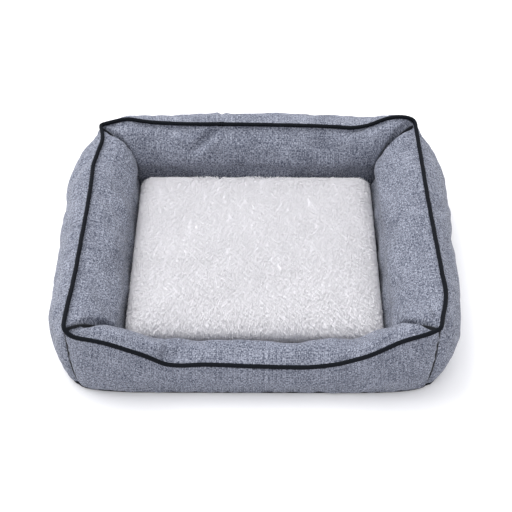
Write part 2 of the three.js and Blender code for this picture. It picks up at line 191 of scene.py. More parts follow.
def corner_uv(uv):
    """Cloth coordinates of each face's corners, from those of a grid whose wrapped lines are repeated."""
    around = [uv[:-1, :-1], uv[:-1, 1:], uv[1:, 1:], uv[1:, :-1]]
    return np.stack(around, 2).reshape(-1, 2)


def new_mesh(name, points, faces, uv=None):
    """Mesh of points and of one or several arrays of faces. uv holds each corner's place in the cloth, in
    metres; corners past its end, such as those of end caps, get zero."""
    faces = faces if isinstance(faces, list) else [faces]
    corners = np.concatenate([f.ravel() for f in faces]).astype(np.int32)
    sizes = np.concatenate([np.full(len(f), f.shape[1]) for f in faces])
    mesh = bpy.data.meshes.new(name)
    mesh.vertices.add(len(points))
    mesh.vertices.foreach_set("co", np.asarray(points, np.float32).ravel())
    mesh.loops.add(len(corners))
    mesh.loops.foreach_set("vertex_index", corners)
    mesh.polygons.add(len(sizes))
    starts = np.concatenate([[0], np.cumsum(sizes)[:-1]]).astype(np.int32)
    mesh.polygons.foreach_set("loop_start", starts)
    mesh.update(calc_edges=True)
    if uv is not None:
        places = np.zeros((len(corners), 2), np.float32)
        places[: len(uv)] = uv
        mesh.uv_layers.new(name="weave").data.foreach_set("uv", places.ravel())
    mesh.validate()
    mesh.shade_smooth()
    return mesh


def add_piece(name, mesh, material, body, replaces=()):
    """Object at the origin that holds the mesh, rides on a body and stands for the frame's nodes that it
    replaces."""
    piece = bpy.data.objects.new(name, mesh)
    bpy.context.collection.objects.link(piece)
    mesh.materials.append(material)
    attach(piece, body)
    if replaces:
        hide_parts(*replaces)
    print(name, len(mesh.vertices), "points", len(mesh.polygons), "faces")
    return piece


def thicken(piece, thickness, offset=-1):
    """Gives a sheet its thickness, on the inner side of its faces or, with offset 0, half on each."""
    shell = piece.modifiers.new("thickness", "SOLIDIFY")
    shell.thickness = thickness
    shell.offset = offset


# %% Tubes
def circle(radius, sides):
    """Clockwise ring of (across, up) points."""
    angle = -np.arange(sides) * 2 * np.pi / sides
    return radius * np.stack([np.cos(angle), np.sin(angle)], -1)


def sweep(path, profile, upward=(0.0, 0.0, 1.0), closed=False):
    """Carries a profile of (across, up) points along a path. Across is the path's direction x upward."""
    ahead = np.roll(path, -1, 0) if closed else np.concatenate([path[1:], path[-1:]])
    behind = np.roll(path, 1, 0) if closed else np.concatenate([path[:1], path[:-1]])
    way = unit(ahead - behind)
    across = unit(np.cross(way, upward))
    up = np.cross(across, way)
    profile = np.broadcast_to(profile, (len(path), *profile.shape[-2:]))
    return path[:, None] + across[:, None] * profile[..., :1] + up[:, None] * profile[..., 1:]


def tube_faces(rows, cols):
    """Faces of a tube whose rows are its rings, with a cap at each end."""
    ring = np.arange(cols)
    caps = np.stack([ring[::-1], (rows - 1) * cols + ring])
    return [grid_faces(rows, cols, wrap_cols=True), caps]


def bag_faces(rows, cols):
    """Faces of a bag whose columns are its rings, with a cap at each end."""
    ring = np.arange(rows) * cols
    caps = np.stack([ring, ring[::-1] + cols - 1])
    return [grid_faces(rows, cols, wrap_rows=True), caps]


# %% [markdown]
# ## Material helpers
# Colours are written as sRGB hex, as a colour card gives them, and turned linear by one
# function. One more function adds a node with its settings and its links, and another
# sets the shader's own values.

# %% Colour and node helpers
def linear(colour):
    """Linear RGBA of an sRGB hex colour: (c / 12.92) below 0.04045, else ((c + 0.055) / 1.055) ^ 2.4."""
    srgb = np.array([int(colour[i : i + 2], 16) for i in (1, 3, 5)]) / 255
    rgb = np.where(srgb <= 0.04045, srgb / 12.92, ((srgb + 0.055) / 1.055) ** 2.4)
    return (*rgb, 1.0)


def add_node(tree, kind, inputs=None, stops=(), **settings):
    """Adds a node. inputs gives each input's value or the socket that feeds it, and stops the places, from
    low to high, and hex colours of a colour ramp."""
    node = tree.nodes.new(kind)
    for index, (place, colour) in enumerate(stops):
        elements = node.color_ramp.elements
        element = elements[index] if index < len(elements) else elements.new(place)
        element.position = place
        element.color = linear(colour)
    for key, value in settings.items():
        setattr(node, key, value)
    for key, value in (inputs or {}).items():
        if isinstance(value, bpy.types.NodeSocket):
            tree.links.new(value, node.inputs[key])
        else:
            node.inputs[key].default_value = value
    return node


def new_material(name):
    """Empty material with a Principled shader linked to its output; gives the material, tree and shader."""
    material = bpy.data.materials.new(name)
    material.use_nodes = True
    tree = material.node_tree
    tree.nodes.clear()
    shader = add_node(tree, "ShaderNodeBsdfPrincipled")
    add_node(tree, "ShaderNodeOutputMaterial", {"Surface": shader.outputs["BSDF"]})
    return material, tree, shader


def set_shader(shader, **values):
    """Sets the shader's own sockets; an underscore in a name stands for a space."""
    for socket, value in values.items():
        shader.inputs[socket.replace("_", " ")].default_value = value


# %% [markdown]
# ## Slub linen-look weave
# The walls are covered in a plain-woven polyester that imitates linen. Warp and weft
# are spun from fibres dyed in several greys and blues, and each yarn has thick and thin
# stretches, so the cloth shows short light and dark dashes that run both ways. The
# yarns of such a cloth are about 0.6 mm apart, a little finer than can show from here,
# so the dashes are drawn 0.8 mm wide. Most are a few millimetres long, and fainter ones
# run on for some centimetres. They could be painted on each panel, but a pattern in the
# cloth's own coordinates, which each panel carries in metres, follows every fold.

# %% Weave material
YARN_WIDTH = 0.8 * MM
SLUBS = ((4.5 * MM, 1.0), (38 * MM, 0.55))  # length and strength of the short and the long dashes
PATCH_SCALE = 22.0  # dye patches to the metre
PATCH_WEIGHT = 0.14
SPREAD = 0.25  # how far from its average the sum goes from the dark to the light yarn colour
WEAVE_HEIGHT = 0.6 * MM


def weave_material(name, dark, middle, light):
    """Melange plain weave: noise(x / width, y / length) + noise(x / length, y / width), once for each
    length of slub. Their weighted sum gives both the colour and the bump. Polyester yarn is matt, with a
    faint sheen where its loose ends catch the light."""
    material, tree, shader = new_material(name)
    cloth = add_node(tree, "ShaderNodeUVMap", uv_map="weave").outputs["UV"]
    mixed = 0.0
    for length, weight in SLUBS:
        for scale in ((1 / YARN_WIDTH, 1 / length, 1), (1 / length, 1 / YARN_WIDTH, 1)):
            place = add_node(tree, "ShaderNodeMapping", {"Vector": cloth, "Scale": scale}).outputs["Vector"]
            yarn_inputs = {"Vector": place, "Scale": 1.0, "Detail": 1.0, "Roughness": 0.5}
            yarn = add_node(tree, "ShaderNodeTexNoise", yarn_inputs, noise_dimensions="2D").outputs["Fac"]
            sum_inputs = {0: yarn, 1: weight, 2: mixed}
            mixed = add_node(tree, "ShaderNodeMath", sum_inputs, operation="MULTIPLY_ADD").outputs[0]
    patch_inputs = {"Vector": cloth, "Scale": PATCH_SCALE, "Detail": 3.0}
    patches = add_node(tree, "ShaderNodeTexNoise", patch_inputs, noise_dimensions="2D").outputs["Fac"]
    dyed_inputs = {0: patches, 1: PATCH_WEIGHT, 2: mixed}
    dyed = add_node(tree, "ShaderNodeMath", dyed_inputs, operation="MULTIPLY_ADD").outputs[0]
    # Each noise is 0.5 on average, and there are two of each slub length.
    average = sum(weight for _, weight in SLUBS) + PATCH_WEIGHT / 2
    span_inputs = {"Value": dyed, "From Min": average - SPREAD, "From Max": average + SPREAD}
    shade = add_node(tree, "ShaderNodeMapRange", span_inputs).outputs["Result"]
    stops = [(0.0, dark), (0.5, middle), (1.0, light)]
    colours = add_node(tree, "ShaderNodeValToRGB", {"Fac": shade}, stops)
    tree.links.new(colours.outputs["Color"], shader.inputs["Base Color"])
    bump = add_node(tree, "ShaderNodeBump", {"Height": mixed, "Strength": 0.5, "Distance": WEAVE_HEIGHT})
    tree.links.new(bump.outputs["Normal"], shader.inputs["Normal"])
    set_shader(shader, Roughness=0.88, Specular_IOR_Level=0.25, Sheen_Weight=0.12, Sheen_Roughness=0.5)
    return material


LINEN = weave_material("slub_linen_look_weave", "#373b4b", "#686d7b", "#a4a8b5")

# %% [markdown]
# ## Other finishes
# The piping is a bias-cut strip of navy poplin, the cushion is white long-pile plush,
# the stuffing is siliconised polyester fibre, the bottom is a dark oxford weave with
# printed rubber dots, and the zip is nylon with a die-cast zinc slider. The even weaves
# are drawn thread by thread. Fibre and cast zinc are mottled, and plush, rubber and
# nylon are one even colour, because their grain is in their shape.

# %% Ways to make the other finishes
THREAD_HEIGHT = 0.3 * MM


def plain_weave(tree, spacing, turn):
    """One thread up, one down: sine of x times sine of y, each a full turn for every `spacing` metres, with
    the threads turned on the cloth."""
    cloth = add_node(tree, "ShaderNodeUVMap", uv_map="weave").outputs["UV"]
    scale = (2 * math.pi / spacing, 2 * math.pi / spacing, 1)
    turn_inputs = {"Vector": cloth, "Rotation": (0, 0, turn)}
    turned = add_node(tree, "ShaderNodeMapping", turn_inputs).outputs["Vector"]
    place = add_node(tree, "ShaderNodeMapping", {"Vector": turned, "Scale": scale}).outputs["Vector"]
    parts = add_node(tree, "ShaderNodeSeparateXYZ", {"Vector": place})
    waves = [
        add_node(tree, "ShaderNodeMath", {0: parts.outputs[axis]}, operation="SINE").outputs[0]
        for axis in "XY"
    ]
    return add_node(tree, "ShaderNodeMath", {0: waves[0], 1: waves[1]}, operation="MULTIPLY").outputs[0]


def woven_material(name, dark, light, spacing, turn=0.0, roughness=0.8, sheen=0.2):
    """Even plain weave in one yarn, with its threads `spacing` apart and turned on the cloth."""
    material, tree, shader = new_material(name)
    threads = plain_weave(tree, spacing, turn)
    shade = add_node(tree, "ShaderNodeMapRange", {"Value": threads, "From Min": -1.0}).outputs["Result"]
    colours = add_node(tree, "ShaderNodeValToRGB", {"Fac": shade}, [(0.0, dark), (1.0, light)])
    tree.links.new(colours.outputs["Color"], shader.inputs["Base Color"])
    bump = add_node(tree, "ShaderNodeBump", {"Height": threads, "Strength": 0.4, "Distance": THREAD_HEIGHT})
    tree.links.new(bump.outputs["Normal"], shader.inputs["Normal"])
    set_shader(shader, Roughness=roughness, Specular_IOR_Level=0.15, Sheen_Weight=sheen)
    return material


def mottled_material(name, dark, light, scale, bump_height, roughness, **extra):
    """Noise between two near colours on object coordinates, `scale` metres across, and the same as a
    bump."""
    material, tree, shader = new_material(name)
    place = add_node(tree, "ShaderNodeTexCoord").outputs["Object"]
    noise_inputs = {"Vector": place, "Scale": 1 / scale, "Detail": 4.0}
    noise = add_node(tree, "ShaderNodeTexNoise", noise_inputs).outputs["Fac"]
    colours = add_node(tree, "ShaderNodeValToRGB", {"Fac": noise}, [(0.3, dark), (0.7, light)])
    tree.links.new(colours.outputs["Color"], shader.inputs["Base Color"])
    bump = add_node(tree, "ShaderNodeBump", {"Height": noise, "Strength": 0.5, "Distance": bump_height})
    tree.links.new(bump.outputs["Normal"], shader.inputs["Normal"])
    set_shader(shader, Roughness=roughness, **extra)
    return material


def plain_material(name, colour, roughness, **extra):
    """One even colour, for pieces whose own shape gives all the grain there is to see."""
    material, _, shader = new_material(name)
    set_shader(shader, Base_Color=linear(colour), Roughness=roughness, **extra)
    return material


# %% Poplin, oxford, zip tape, plush, fibre, rubber, nylon and zinc
# Cotton poplin, cut on the bias: fine threads that cross at 45 degrees, matt and almost black.
POPLIN = woven_material("navy_bias_poplin", "#04060b", "#0e131c", 0.9 * MM, math.pi / 4, 0.8, 0.0)
# Nylon oxford and the polyester tape of a zip: coarser, even weaves with a faint sheen.
OXFORD = woven_material("charcoal_oxford_weave", "#121419", "#24272e", 1.2 * MM)
TAPE = woven_material("woven_zip_tape", "#20242c", "#363c47", 0.8 * MM)
# Polyester plush: bright white, with the soft edge glow of hair that lets light through.
PLUSH = plain_material("white_plush_pile", "#fcfbfe", 0.9, Sheen_Weight=0.4, Specular_IOR_Level=0.1)
# Hollow fibre, blown into the sleeves: clumps about a finger's width across.
FIBRE = mottled_material("siliconised_polyester_fibre", "#e4e3e0", "#f6f5f2", 9 * MM, 2 * MM, 0.9)
# Screen-printed rubber and drawn nylon: dull and slightly glossy.
RUBBER = plain_material("printed_rubber_dots", "#1d2025", 0.6)
NYLON = plain_material("nylon_coil", "#2d333e", 0.45)
# Zinc as it comes out of the die and the tumbler: grey metal with a blurred shine.
ZINC = mottled_material("die_cast_zinc", "#8b8e94", "#a5a8ad", 4 * MM, 0.05 * MM, 0.35, Metallic=1.0)
print("finishes", sorted(material.name for material in bpy.data.materials))

# %% [markdown]
# ## Walls: plan and section
# On the real bed each wall is a long sleeve, sewn from an outer and an inner panel and
# stuffed loosely. It could be modelled as a bent tube, but then the mitred corners and
# the sharp piped ridge would be lost. Here a wall is a strip of plan between the ridge
# line and the well, and each of its sections is two Bezier curves that meet at the
# ridge. Hand sewing and uneven stuffing make the ridge wander, so every wall has its own
# short list of knots: how far along, how far out and how high the piping runs.

# %% Walls
CORNERS = {
    "front_left": (-274, -233),
    "front_right": (268.5, -232),
    "back_right": (275, 240),
    "back_left": (-268.5, 231),
}
RIDGE = {place: np.array([x * MM, y * MM + MID_Y]) for place, (x, y) in CORNERS.items()}
WELL = {
    "front_left": np.array([-WELL_HALF_W, WELL_FRONT_Y]),
    "front_right": np.array([WELL_HALF_W, WELL_FRONT_Y]),
    "back_right": np.array([WELL_HALF_W, WELL_BACK_Y]),
    "back_left": np.array([-WELL_HALF_W, WELL_BACK_Y]),
}

# Knots are (fraction along the wall, millimetres out, millimetres high).
FRONT_KNOTS = [
    (0, 0, 138.5), (0.012, 4, 135), (0.034, 9, 128.6), (0.068, 11, 124), (0.112, 12, 117.5),
    (0.16, 13, 105.5), (0.204, 13, 93.3), (0.243, 13, 80), (0.266, 13, 72), (0.285, 13, 70),
    (0.37, 13, 71.5), (0.51, 14, 69),
    (0.7, 13, 69.5), (0.746, 13, 76), (0.783, 13, 84.5), (0.824, 13, 95.6), (0.855, 12, 106.5),
    (0.885, 11, 117.8), (0.917, 9, 125.4), (0.963, 5, 132), (1, 0, 138.5),
]
RIGHT_KNOTS = [
    (0, 0, 138.5), (0.05, 4.8, 136.5), (0.094, 9.6, 135), (0.14, 14, 134), (0.25, 13, 133), (0.45, 9, 133),
    (0.61, 6, 133), (0.76, 4.3, 133), (0.9, 2, 134.5), (1, 0, 139.5),
]
BACK_KNOTS = [
    (0, 0, 139.5), (0.02, 4, 144), (0.045, 6, 147.2), (0.082, 6, 145.2), (0.108, 5, 140.5),
    (0.134, 2, 135.6), (0.16, -2, 132.5), (0.19, -5, 132.5), (0.24, -3, 133), (0.5, 5, 133),
    (0.63, 6, 134), (0.75, 6, 135.3),
    (0.874, 8, 140.7), (0.91, 10, 143.6), (0.95, 7, 140), (1, 0, 138),
]
LEFT_KNOTS = [
    (0, 0, 138), (0.03, -6, 137), (0.06, -8, 136), (0.147, -3.5, 134), (0.21, 0, 133), (0.3, -1.5, 133),
    (0.63, -2, 133), (0.8, -1.3, 133), (0.93, 0.8, 135.5), (1, 0, 138.5),
]


def make_wall(name, start, end, bulges, power, foot, knots):
    """Plan and knots of one wall: how far its belly stands out towards its start and its end and how late
    it falls off at the corners, how far its base seam stands out, and its ridge. Out is to the right of the
    way from its start corner to its end."""
    along = unit(RIDGE[end] - RIDGE[start])
    return SimpleNamespace(
        name=name,
        start=start,
        end=end,
        bulges=np.array(bulges) * MM,
        power=power,
        foot=foot * MM,
        knots=np.array(knots, float) * (1, MM, MM),
        along=along,
        out=np.array([along[1], -along[0]]),
        length=np.linalg.norm(RIDGE[end] - RIDGE[start]),
    )


WALLS = [
    make_wall("front", "front_left", "front_right", (12, 12), 8, 10, FRONT_KNOTS),
    make_wall("right", "front_right", "back_right", (37, 44), 7, 26, RIGHT_KNOTS),
    make_wall("back", "back_right", "back_left", (79, 74), 5.5, 30, BACK_KNOTS),
    make_wall("left", "back_left", "front_left", (48, 30), 7, 20, LEFT_KNOTS),
]
print("walls", {wall.name: round(wall.length, 3) for wall in WALLS})

# %% Surfaces of a wall
CORNER_TUCK = 0.1  # of the lean, at the base
CORNER_BELLY = 0.08  # of the lean, low in the belly
MITRE_POWER = 10  # how late the outer cloth turns into the mitre's line
BELLY_REACH = 1.3  # a Bezier curve passes its handles at about 3/4 of their height
LOW_HANDLE, HIGH_HANDLE = 0.3, 0.93  # heights of the outer curve's handles, as shares of the wall's


def fullness(t, power):
    """1 in the middle of a wall and 0 at both corners: 1 - |2t - 1| ^ power."""
    return 1 - np.abs(2 * t - 1) ** power


def ridge_line(wall, t):
    """How far out and how high the middle of the piping runs."""
    return hermite(wall.knots[:, 0], wall.knots[:, 1:], t).T


def plan(wall, t, n):
    """Plan point at fraction t along a wall and n out from its ridge corners' line. Where n is negative the
    point runs in along the slanting line that ends as the mitre. Where it is positive it runs straight out,
    and near the corners more and more along the mitre's own line, so that neighbours still meet."""
    outer = RIDGE[wall.start] + (RIDGE[wall.end] - RIDGE[wall.start]) * t[..., None]
    inner = WELL[wall.start] + (WELL[wall.end] - WELL[wall.start]) * t[..., None]
    slant = (outer - inner) / np.abs((inner - outer) @ wall.out)[..., None]
    corner = (np.abs(2 * t - 1) ** MITRE_POWER)[..., None]
    straight = wall.out + corner * (slant - wall.out)
    return outer + np.where(n[..., None] < 0, slant, straight) * n[..., None]


def lean_of(wall, t):
    """Plan distance across a wall from its ridge corners' line to the well."""
    at_start = np.abs((WELL[wall.start] - RIDGE[wall.start]) @ wall.out)
    at_end = np.abs((WELL[wall.end] - RIDGE[wall.end]) @ wall.out)
    return at_start + (at_end - at_start) * t


def outer_surface(wall, s, t):
    """Outer panel from its base seam (s = 0) to the ridge (s = 1): the belly stands BELLY_REACH bulges out
    at both handles. At the corners the base is tucked in by a share of the lean and the low belly swells by
    another."""
    out, high = ridge_line(wall, t)
    full = fullness(t, wall.power)
    lean = lean_of(wall, t)
    foot = wall.foot * full - CORNER_TUCK * lean * (1 - full)
    high_belly = BELLY_REACH * (wall.bulges[0] + (wall.bulges[1] - wall.bulges[0]) * t) * full
    low_belly = high_belly + CORNER_BELLY * lean * (1 - full)
    top = high - PIPING_SEAT
    s, t = np.meshgrid(s, t, indexing="ij")
    n = bezier(foot, low_belly, high_belly, out + PIPING_HALF_SEAM, s)
    z = bezier(WALL_FOOT_Z, LOW_HANDLE * top, HIGH_HANDLE * top, top, s)
    return np.concatenate([plan(wall, t, n), z[..., None]], -1)


DIP_PUFF = 15 * MM  # how far the stuffing stands up behind the piping of the entry
DIP_Z = (70 * MM, 110 * MM)  # ridge heights between which that puff fades out
OVERHANG = 6 * MM  # how far the side walls hang over the cushion
OVERHANG_POWER = 6
ROLL_HANDLE = 0.55  # of the lean, where the inner curve's upper handle stands


def inner_surface(wall, s, t):
    """Inner panel from the ridge (s = 0) to its foot in the well (s = 1): it leans in and stands upright
    from the shoulder down. In the entry dip the stuffing puffs it up behind the piping."""
    out, high = ridge_line(wall, t)
    top, ridge = high - PIPING_SEAT, out - PIPING_HALF_SEAM
    lean = lean_of(wall, t)
    reach = ridge + lean
    s, t = np.meshgrid(s, t, indexing="ij")
    overhang = OVERHANG * fullness(t, OVERHANG_POWER) * (wall.name in ("left", "right"))
    n = bezier(ridge, ridge - ROLL_HANDLE * reach, -lean - overhang, -lean, s)
    puff = DIP_PUFF * (1 - ease(top, *DIP_Z))
    shoulder = np.minimum(SHOULDER_Z, top) + puff
    z = bezier(top, top - 0.06 * (top - SHOULDER_Z) + 0.4 * puff, shoulder, WALL_FOOT_Z, s)
    return np.concatenate([plan(wall, t, n), z[..., None]], -1)


# %% [markdown]
# ## Walls: stuffing pushed out by simulation
# Stuffing pushes the cloth out where nothing holds it and lets it pucker along the
# seams. Blender's Cloth does that better than a formula: each wall is closed into a bag,
# held along its base seams, its ridge and its two mitres, cut 3% larger than the bag and
# blown up for twenty frames. The movement is capped, and kept small beside the cushion.

# %% Bags for the cloth simulation
SIM_STEP = 6.5 * MM
SIM_FRAMES = 20
SIM_CAP = 12 * MM
SIM_SIDE_CAP = 2 * MM
CUSHION_SIDE_Z = (64 * MM, 88 * MM)  # between these heights the cushion's cap gives way to the free one
OUTER_ROWS, INNER_ROWS = 27, 26
STUFFING = {
    "quality": 6,
    "mass": 0.25,
    "tension_stiffness": 14,
    "compression_stiffness": 14,
    "shear_stiffness": 5,
    "bending_stiffness": 0.4,
    "vertex_group_mass": "seams",
    "use_pressure": True,
    "uniform_pressure_force": 4,
    "shrink_min": -0.03,
}


def wall_bag(wall):
    """Grid of the closed bag: outer rows from the base to the ridge, then inner rows down to the well."""
    cols = round(wall.length / SIM_STEP)
    t = np.linspace(0, 1, cols)
    outer = outer_surface(wall, np.linspace(0, 1, OUTER_ROWS), t)
    inner = inner_surface(wall, np.linspace(0, 1, INNER_ROWS), t)
    return np.concatenate([outer, inner[1:]])


def bag_object(wall, grid):
    """Object with Cloth on it. Its seams are pinned and the air in it stands for the stuffing."""
    rows, cols = grid.shape[:2]
    mesh = new_mesh("bag_" + wall.name, grid.reshape(-1, 3), bag_faces(rows, cols))
    bag = bpy.data.objects.new("bag_" + wall.name, mesh)
    bpy.context.collection.objects.link(bag)
    held = np.zeros((rows, cols), bool)
    held[[0, OUTER_ROWS - 1, -1]] = True
    held[:, [0, -1]] = True
    bag.vertex_groups.new(name="seams").add(np.flatnonzero(held).tolist(), 1.0, "REPLACE")
    cloth = bag.modifiers.new("stuffing", "CLOTH")
    for setting, value in STUFFING.items():
        setattr(cloth.settings, setting, value)
    cloth.settings.effector_weights.gravity = 0
    cloth.point_cache.frame_end = SIM_FRAMES
    return bag


# %% Run of the simulation
def evened(shift, passes=10):
    """The movement with its sharpest lumps averaged out along the wall: each place takes half its own and a
    quarter of each neighbour's, several times over. The held ends stay where they are."""
    made = shift.copy()
    for _ in range(passes):
        made[:, 1:-1] = (made[:, :-2] + 2 * made[:, 1:-1] + made[:, 2:]) / 4
    return made


def simulate(grids):
    """Runs the bags together and gives their grids, each point moved no further than its cap."""
    bags = {wall.name: bag_object(wall, grids[wall.name]) for wall in WALLS}
    for step in range(1, SIM_FRAMES + 1):
        bpy.context.scene.frame_set(step)
    depsgraph = bpy.context.evaluated_depsgraph_get()
    moved = {}
    for name, bag in bags.items():
        rest = grids[name]
        points = np.empty(rest.size)
        bag.evaluated_get(depsgraph).data.vertices.foreach_get("co", points)
        shift = evened(points.reshape(rest.shape) - rest)
        cap = np.full(rest.shape[:2], SIM_CAP)
        inner = slice(OUTER_ROWS, None)
        free = ease(rest[inner, :, 2], *CUSHION_SIDE_Z)
        cap[inner] = SIM_SIDE_CAP + (SIM_CAP - SIM_SIDE_CAP) * free
        length = np.linalg.norm(shift, axis=-1)
        # A cap that is approached smoothly leaves no edge where it starts to hold.
        shift *= (cap * np.tanh(length / cap) / np.maximum(length, 1e-9))[..., None]
        moved[name] = rest + shift
        print("bag", name, "moved up to", round(length.max() / MM, 1), "mm before its cap")
        mesh = bag.data
        bpy.data.objects.remove(bag)
        bpy.data.meshes.remove(mesh)
    bpy.context.scene.frame_set(1)
    return moved


bag_grids = {wall.name: wall_bag(wall) for wall in WALLS}
bag_grids = simulate(bag_grids)

# %% [markdown]
# ## Walls: panels, seams and creases
# The simulated grid is refined on smooth curves, and what is too fine for it is added
# along the surface's own normal: gathers under the piping, puckers along the mitres and
# base seams, the hollows of uneven stuffing, the pockets under the corners, and the few
# creases that this bed has in particular places.

# %% Creases
# Creases are (along, below the ridge) at both ends, width and depth, in millimetres.
CREASES = {
    ("back", "inner"): [(342, 2, 388, 54, 7, 6.5), (384, 26, 398, 50, 8, 1.8), (50, 4, 84, 30, 7, 2.2)],
    ("back", "outer"): [(335, 0, 335, 120, 4, 2.2)],
    ("right", "outer"): [
        (250, 8, 330, 60, 9, 2.4), (180, 10, 262, 84, 11, 2.2), (340, 6, 392, 40, 8, 1.8),
        (5, 8, 34, 20, 4, 2.6), (5, 19, 28, 36, 4, 2.0),
    ],
    ("right", "inner"): [(26, 6, 60, 20, 6, 2.4), (20, 22, 44, 44, 7, 1.8)],
    ("left", "outer"): [(60, 6, 120, 46, 10, 2.0), (410, 6, 440, 60, 8, 1.6)],
    ("left", "inner"): [(150, 8, 190, 60, 12, 1.6)],
    ("front", "inner"): [(140, 4, 148, 44, 6, 2.6), (152, 6, 164, 36, 6, 1.8)],
    ("front", "outer"): [(520, 6, 500, 34, 6, 1.8), (512, 4, 488, 22, 5, 1.4)],
}


def crease(a, b, line):
    """Valley along a straight line: depth x exp(-(d / width)^2), where d is the distance to the line, with
    a low swell of half the depth two widths away. It fades out at both ends."""
    a0, b0, a1, b1, width, depth = (value * MM for value in line)
    way = np.array([a1 - a0, b1 - b0])
    share = np.clip(((a - a0) * way[0] + (b - b0) * way[1]) / (way @ way), 0, 1)
    away = np.hypot(a - a0 - share * way[0], b - b0 - share * way[1])
    valley = -np.exp(-((away / width) ** 2)) + 0.5 * np.exp(-(((away - 2 * width) / width) ** 2))
    return depth * valley * (1 - np.abs(2 * share - 1) ** 4)


# %% Wrinkles
# Unevenness all over a panel: depth on the inner and outer panels, and length.
HOLLOW = {"inner": 1.7 * MM, "outer": 0.8 * MM}
HOLLOW_LENGTH = 95 * MM
DENT, DENT_LENGTH = 0.55 * MM, 30 * MM
END_FREE = 22 * MM  # both fade out this near a mitre

# Puckers at the seams: depth, length along the seam, and how far they reach from it.
GATHER, GATHER_LENGTH, GATHER_REACH = 0.9 * MM, 13 * MM, 17 * MM
BASE_PUCKER, BASE_PUCKER_LENGTH, BASE_REACH = 0.6 * MM, 15 * MM, 13 * MM
MITRE_PUCKER = {"inner": 1.3 * MM, "outer": 0.7 * MM}
MITRE_PUCKER_LENGTH, MITRE_REACH = 17 * MM, 16 * MM
CORNER_GATHER, CORNER_REACH = 1.2, 50 * MM

# Valley of the upright seams: depth and width. Beside the mitre the inner panel rolls up to a
# soft ridge, and it has a pit right under the corner of the piping.
VALLEY = {"inner": (7 * MM, 4 * MM), "outer": (3 * MM, 3.5 * MM)}
ROLL, ROLL_WIDTH, ROLL_REACH = 9 * MM, 7 * MM, 90 * MM
PIT, PIT_WIDTH, PIT_DROP = 3 * MM, 15 * MM, 26 * MM


def wrinkles(wall, side, a, b, seed):
    """Height of the cloth over its smooth shape: a sum of ripples, each times exp(-distance / reach) from
    the seam it belongs to, and of valleys and rolls of the form depth x exp(-(distance / width)^2). a is
    the distance along the wall, b the distance below the ridge."""
    end = np.minimum(a - a[:, :1], a[:, -1:] - a)
    foot = b.max(0) - b
    free = 1 - np.exp(-((end / END_FREE) ** 2))
    ab = np.stack([a, b], -1)
    hollows = HOLLOW[side] * ripples(ab, HOLLOW_LENGTH, seed) * free
    hollows *= ease(b, 0, 40 * MM) * ease(foot, 0, 40 * MM)
    dents = DENT * ripples(ab, DENT_LENGTH, seed + 1) * free * ease(b, 0, 15 * MM)
    gathers = GATHER * ripples(ab * (1, 0.25), GATHER_LENGTH, seed + 2) * np.exp(-b / GATHER_REACH)
    base = BASE_PUCKER * ripples(ab * (1, 0.3), BASE_PUCKER_LENGTH, seed + 3) * np.exp(-foot / BASE_REACH)
    from_mitre = np.stack([0.3 * end, b], -1)
    mitres = ripples(from_mitre, MITRE_PUCKER_LENGTH, seed + 4) * np.exp(-end / MITRE_REACH)
    mitres *= MITRE_PUCKER[side]
    height = hollows + dents + base + mitres
    height += gathers * (1 + CORNER_GATHER * np.exp(-end / CORNER_REACH))
    depth, width = VALLEY[side]
    height -= depth * np.exp(-((end / width) ** 2))
    if side == "inner":
        roll = ROLL * (1 - np.exp(-((end / ROLL_WIDTH) ** 2))) * np.exp(-end / ROLL_REACH)
        height += roll * ease(foot, 50 * MM, 85 * MM) * ease(b, 0, 30 * MM)
        height -= PIT * np.exp(-((end / PIT_WIDTH) ** 2) - (b / PIT_DROP) ** 2)
    for line in CREASES.get((wall.name, side), []):
        height += crease(a, b, line)
    return height * ease(b, -1 * MM, 4 * MM)


# %% Cloth coordinates and normals
def along_and_below(wall, grid, side):
    """Cloth coordinates of a panel: the distance along the wall's straight grain and the arc length from
    the ridge."""
    a = (grid[..., :2] - RIDGE[wall.start]) @ wall.along
    steps = np.linalg.norm(np.diff(grid, axis=0), axis=-1)
    arc = np.concatenate([np.zeros((1, grid.shape[1])), np.cumsum(steps, 0)])
    return a, arc if side == "inner" else arc[-1:] - arc


def woven_along(grid):
    """Distance along the cloth itself from the middle of the wall, row by row. The weave and the cut length
    go by this, because near the corners the cloth runs more outwards than along the wall."""
    steps = np.linalg.norm(np.diff(grid, axis=1), axis=-1)
    arc = np.concatenate([np.zeros((len(grid), 1)), np.cumsum(steps, 1)], 1)
    return arc - arc[:, [grid.shape[1] // 2]]


def normals(grid):
    """Outward normals of a grid: along x across."""
    return unit(np.cross(np.gradient(grid, axis=1), np.gradient(grid, axis=0)))


# %% Shape of a panel
FINE_STEP = 2.6 * MM
PANEL_GAP = 1 * MM  # between the two panels of a mitre, on each side
MITRE_TURN = 6 * MM  # how near a mitre the normals turn into its plane


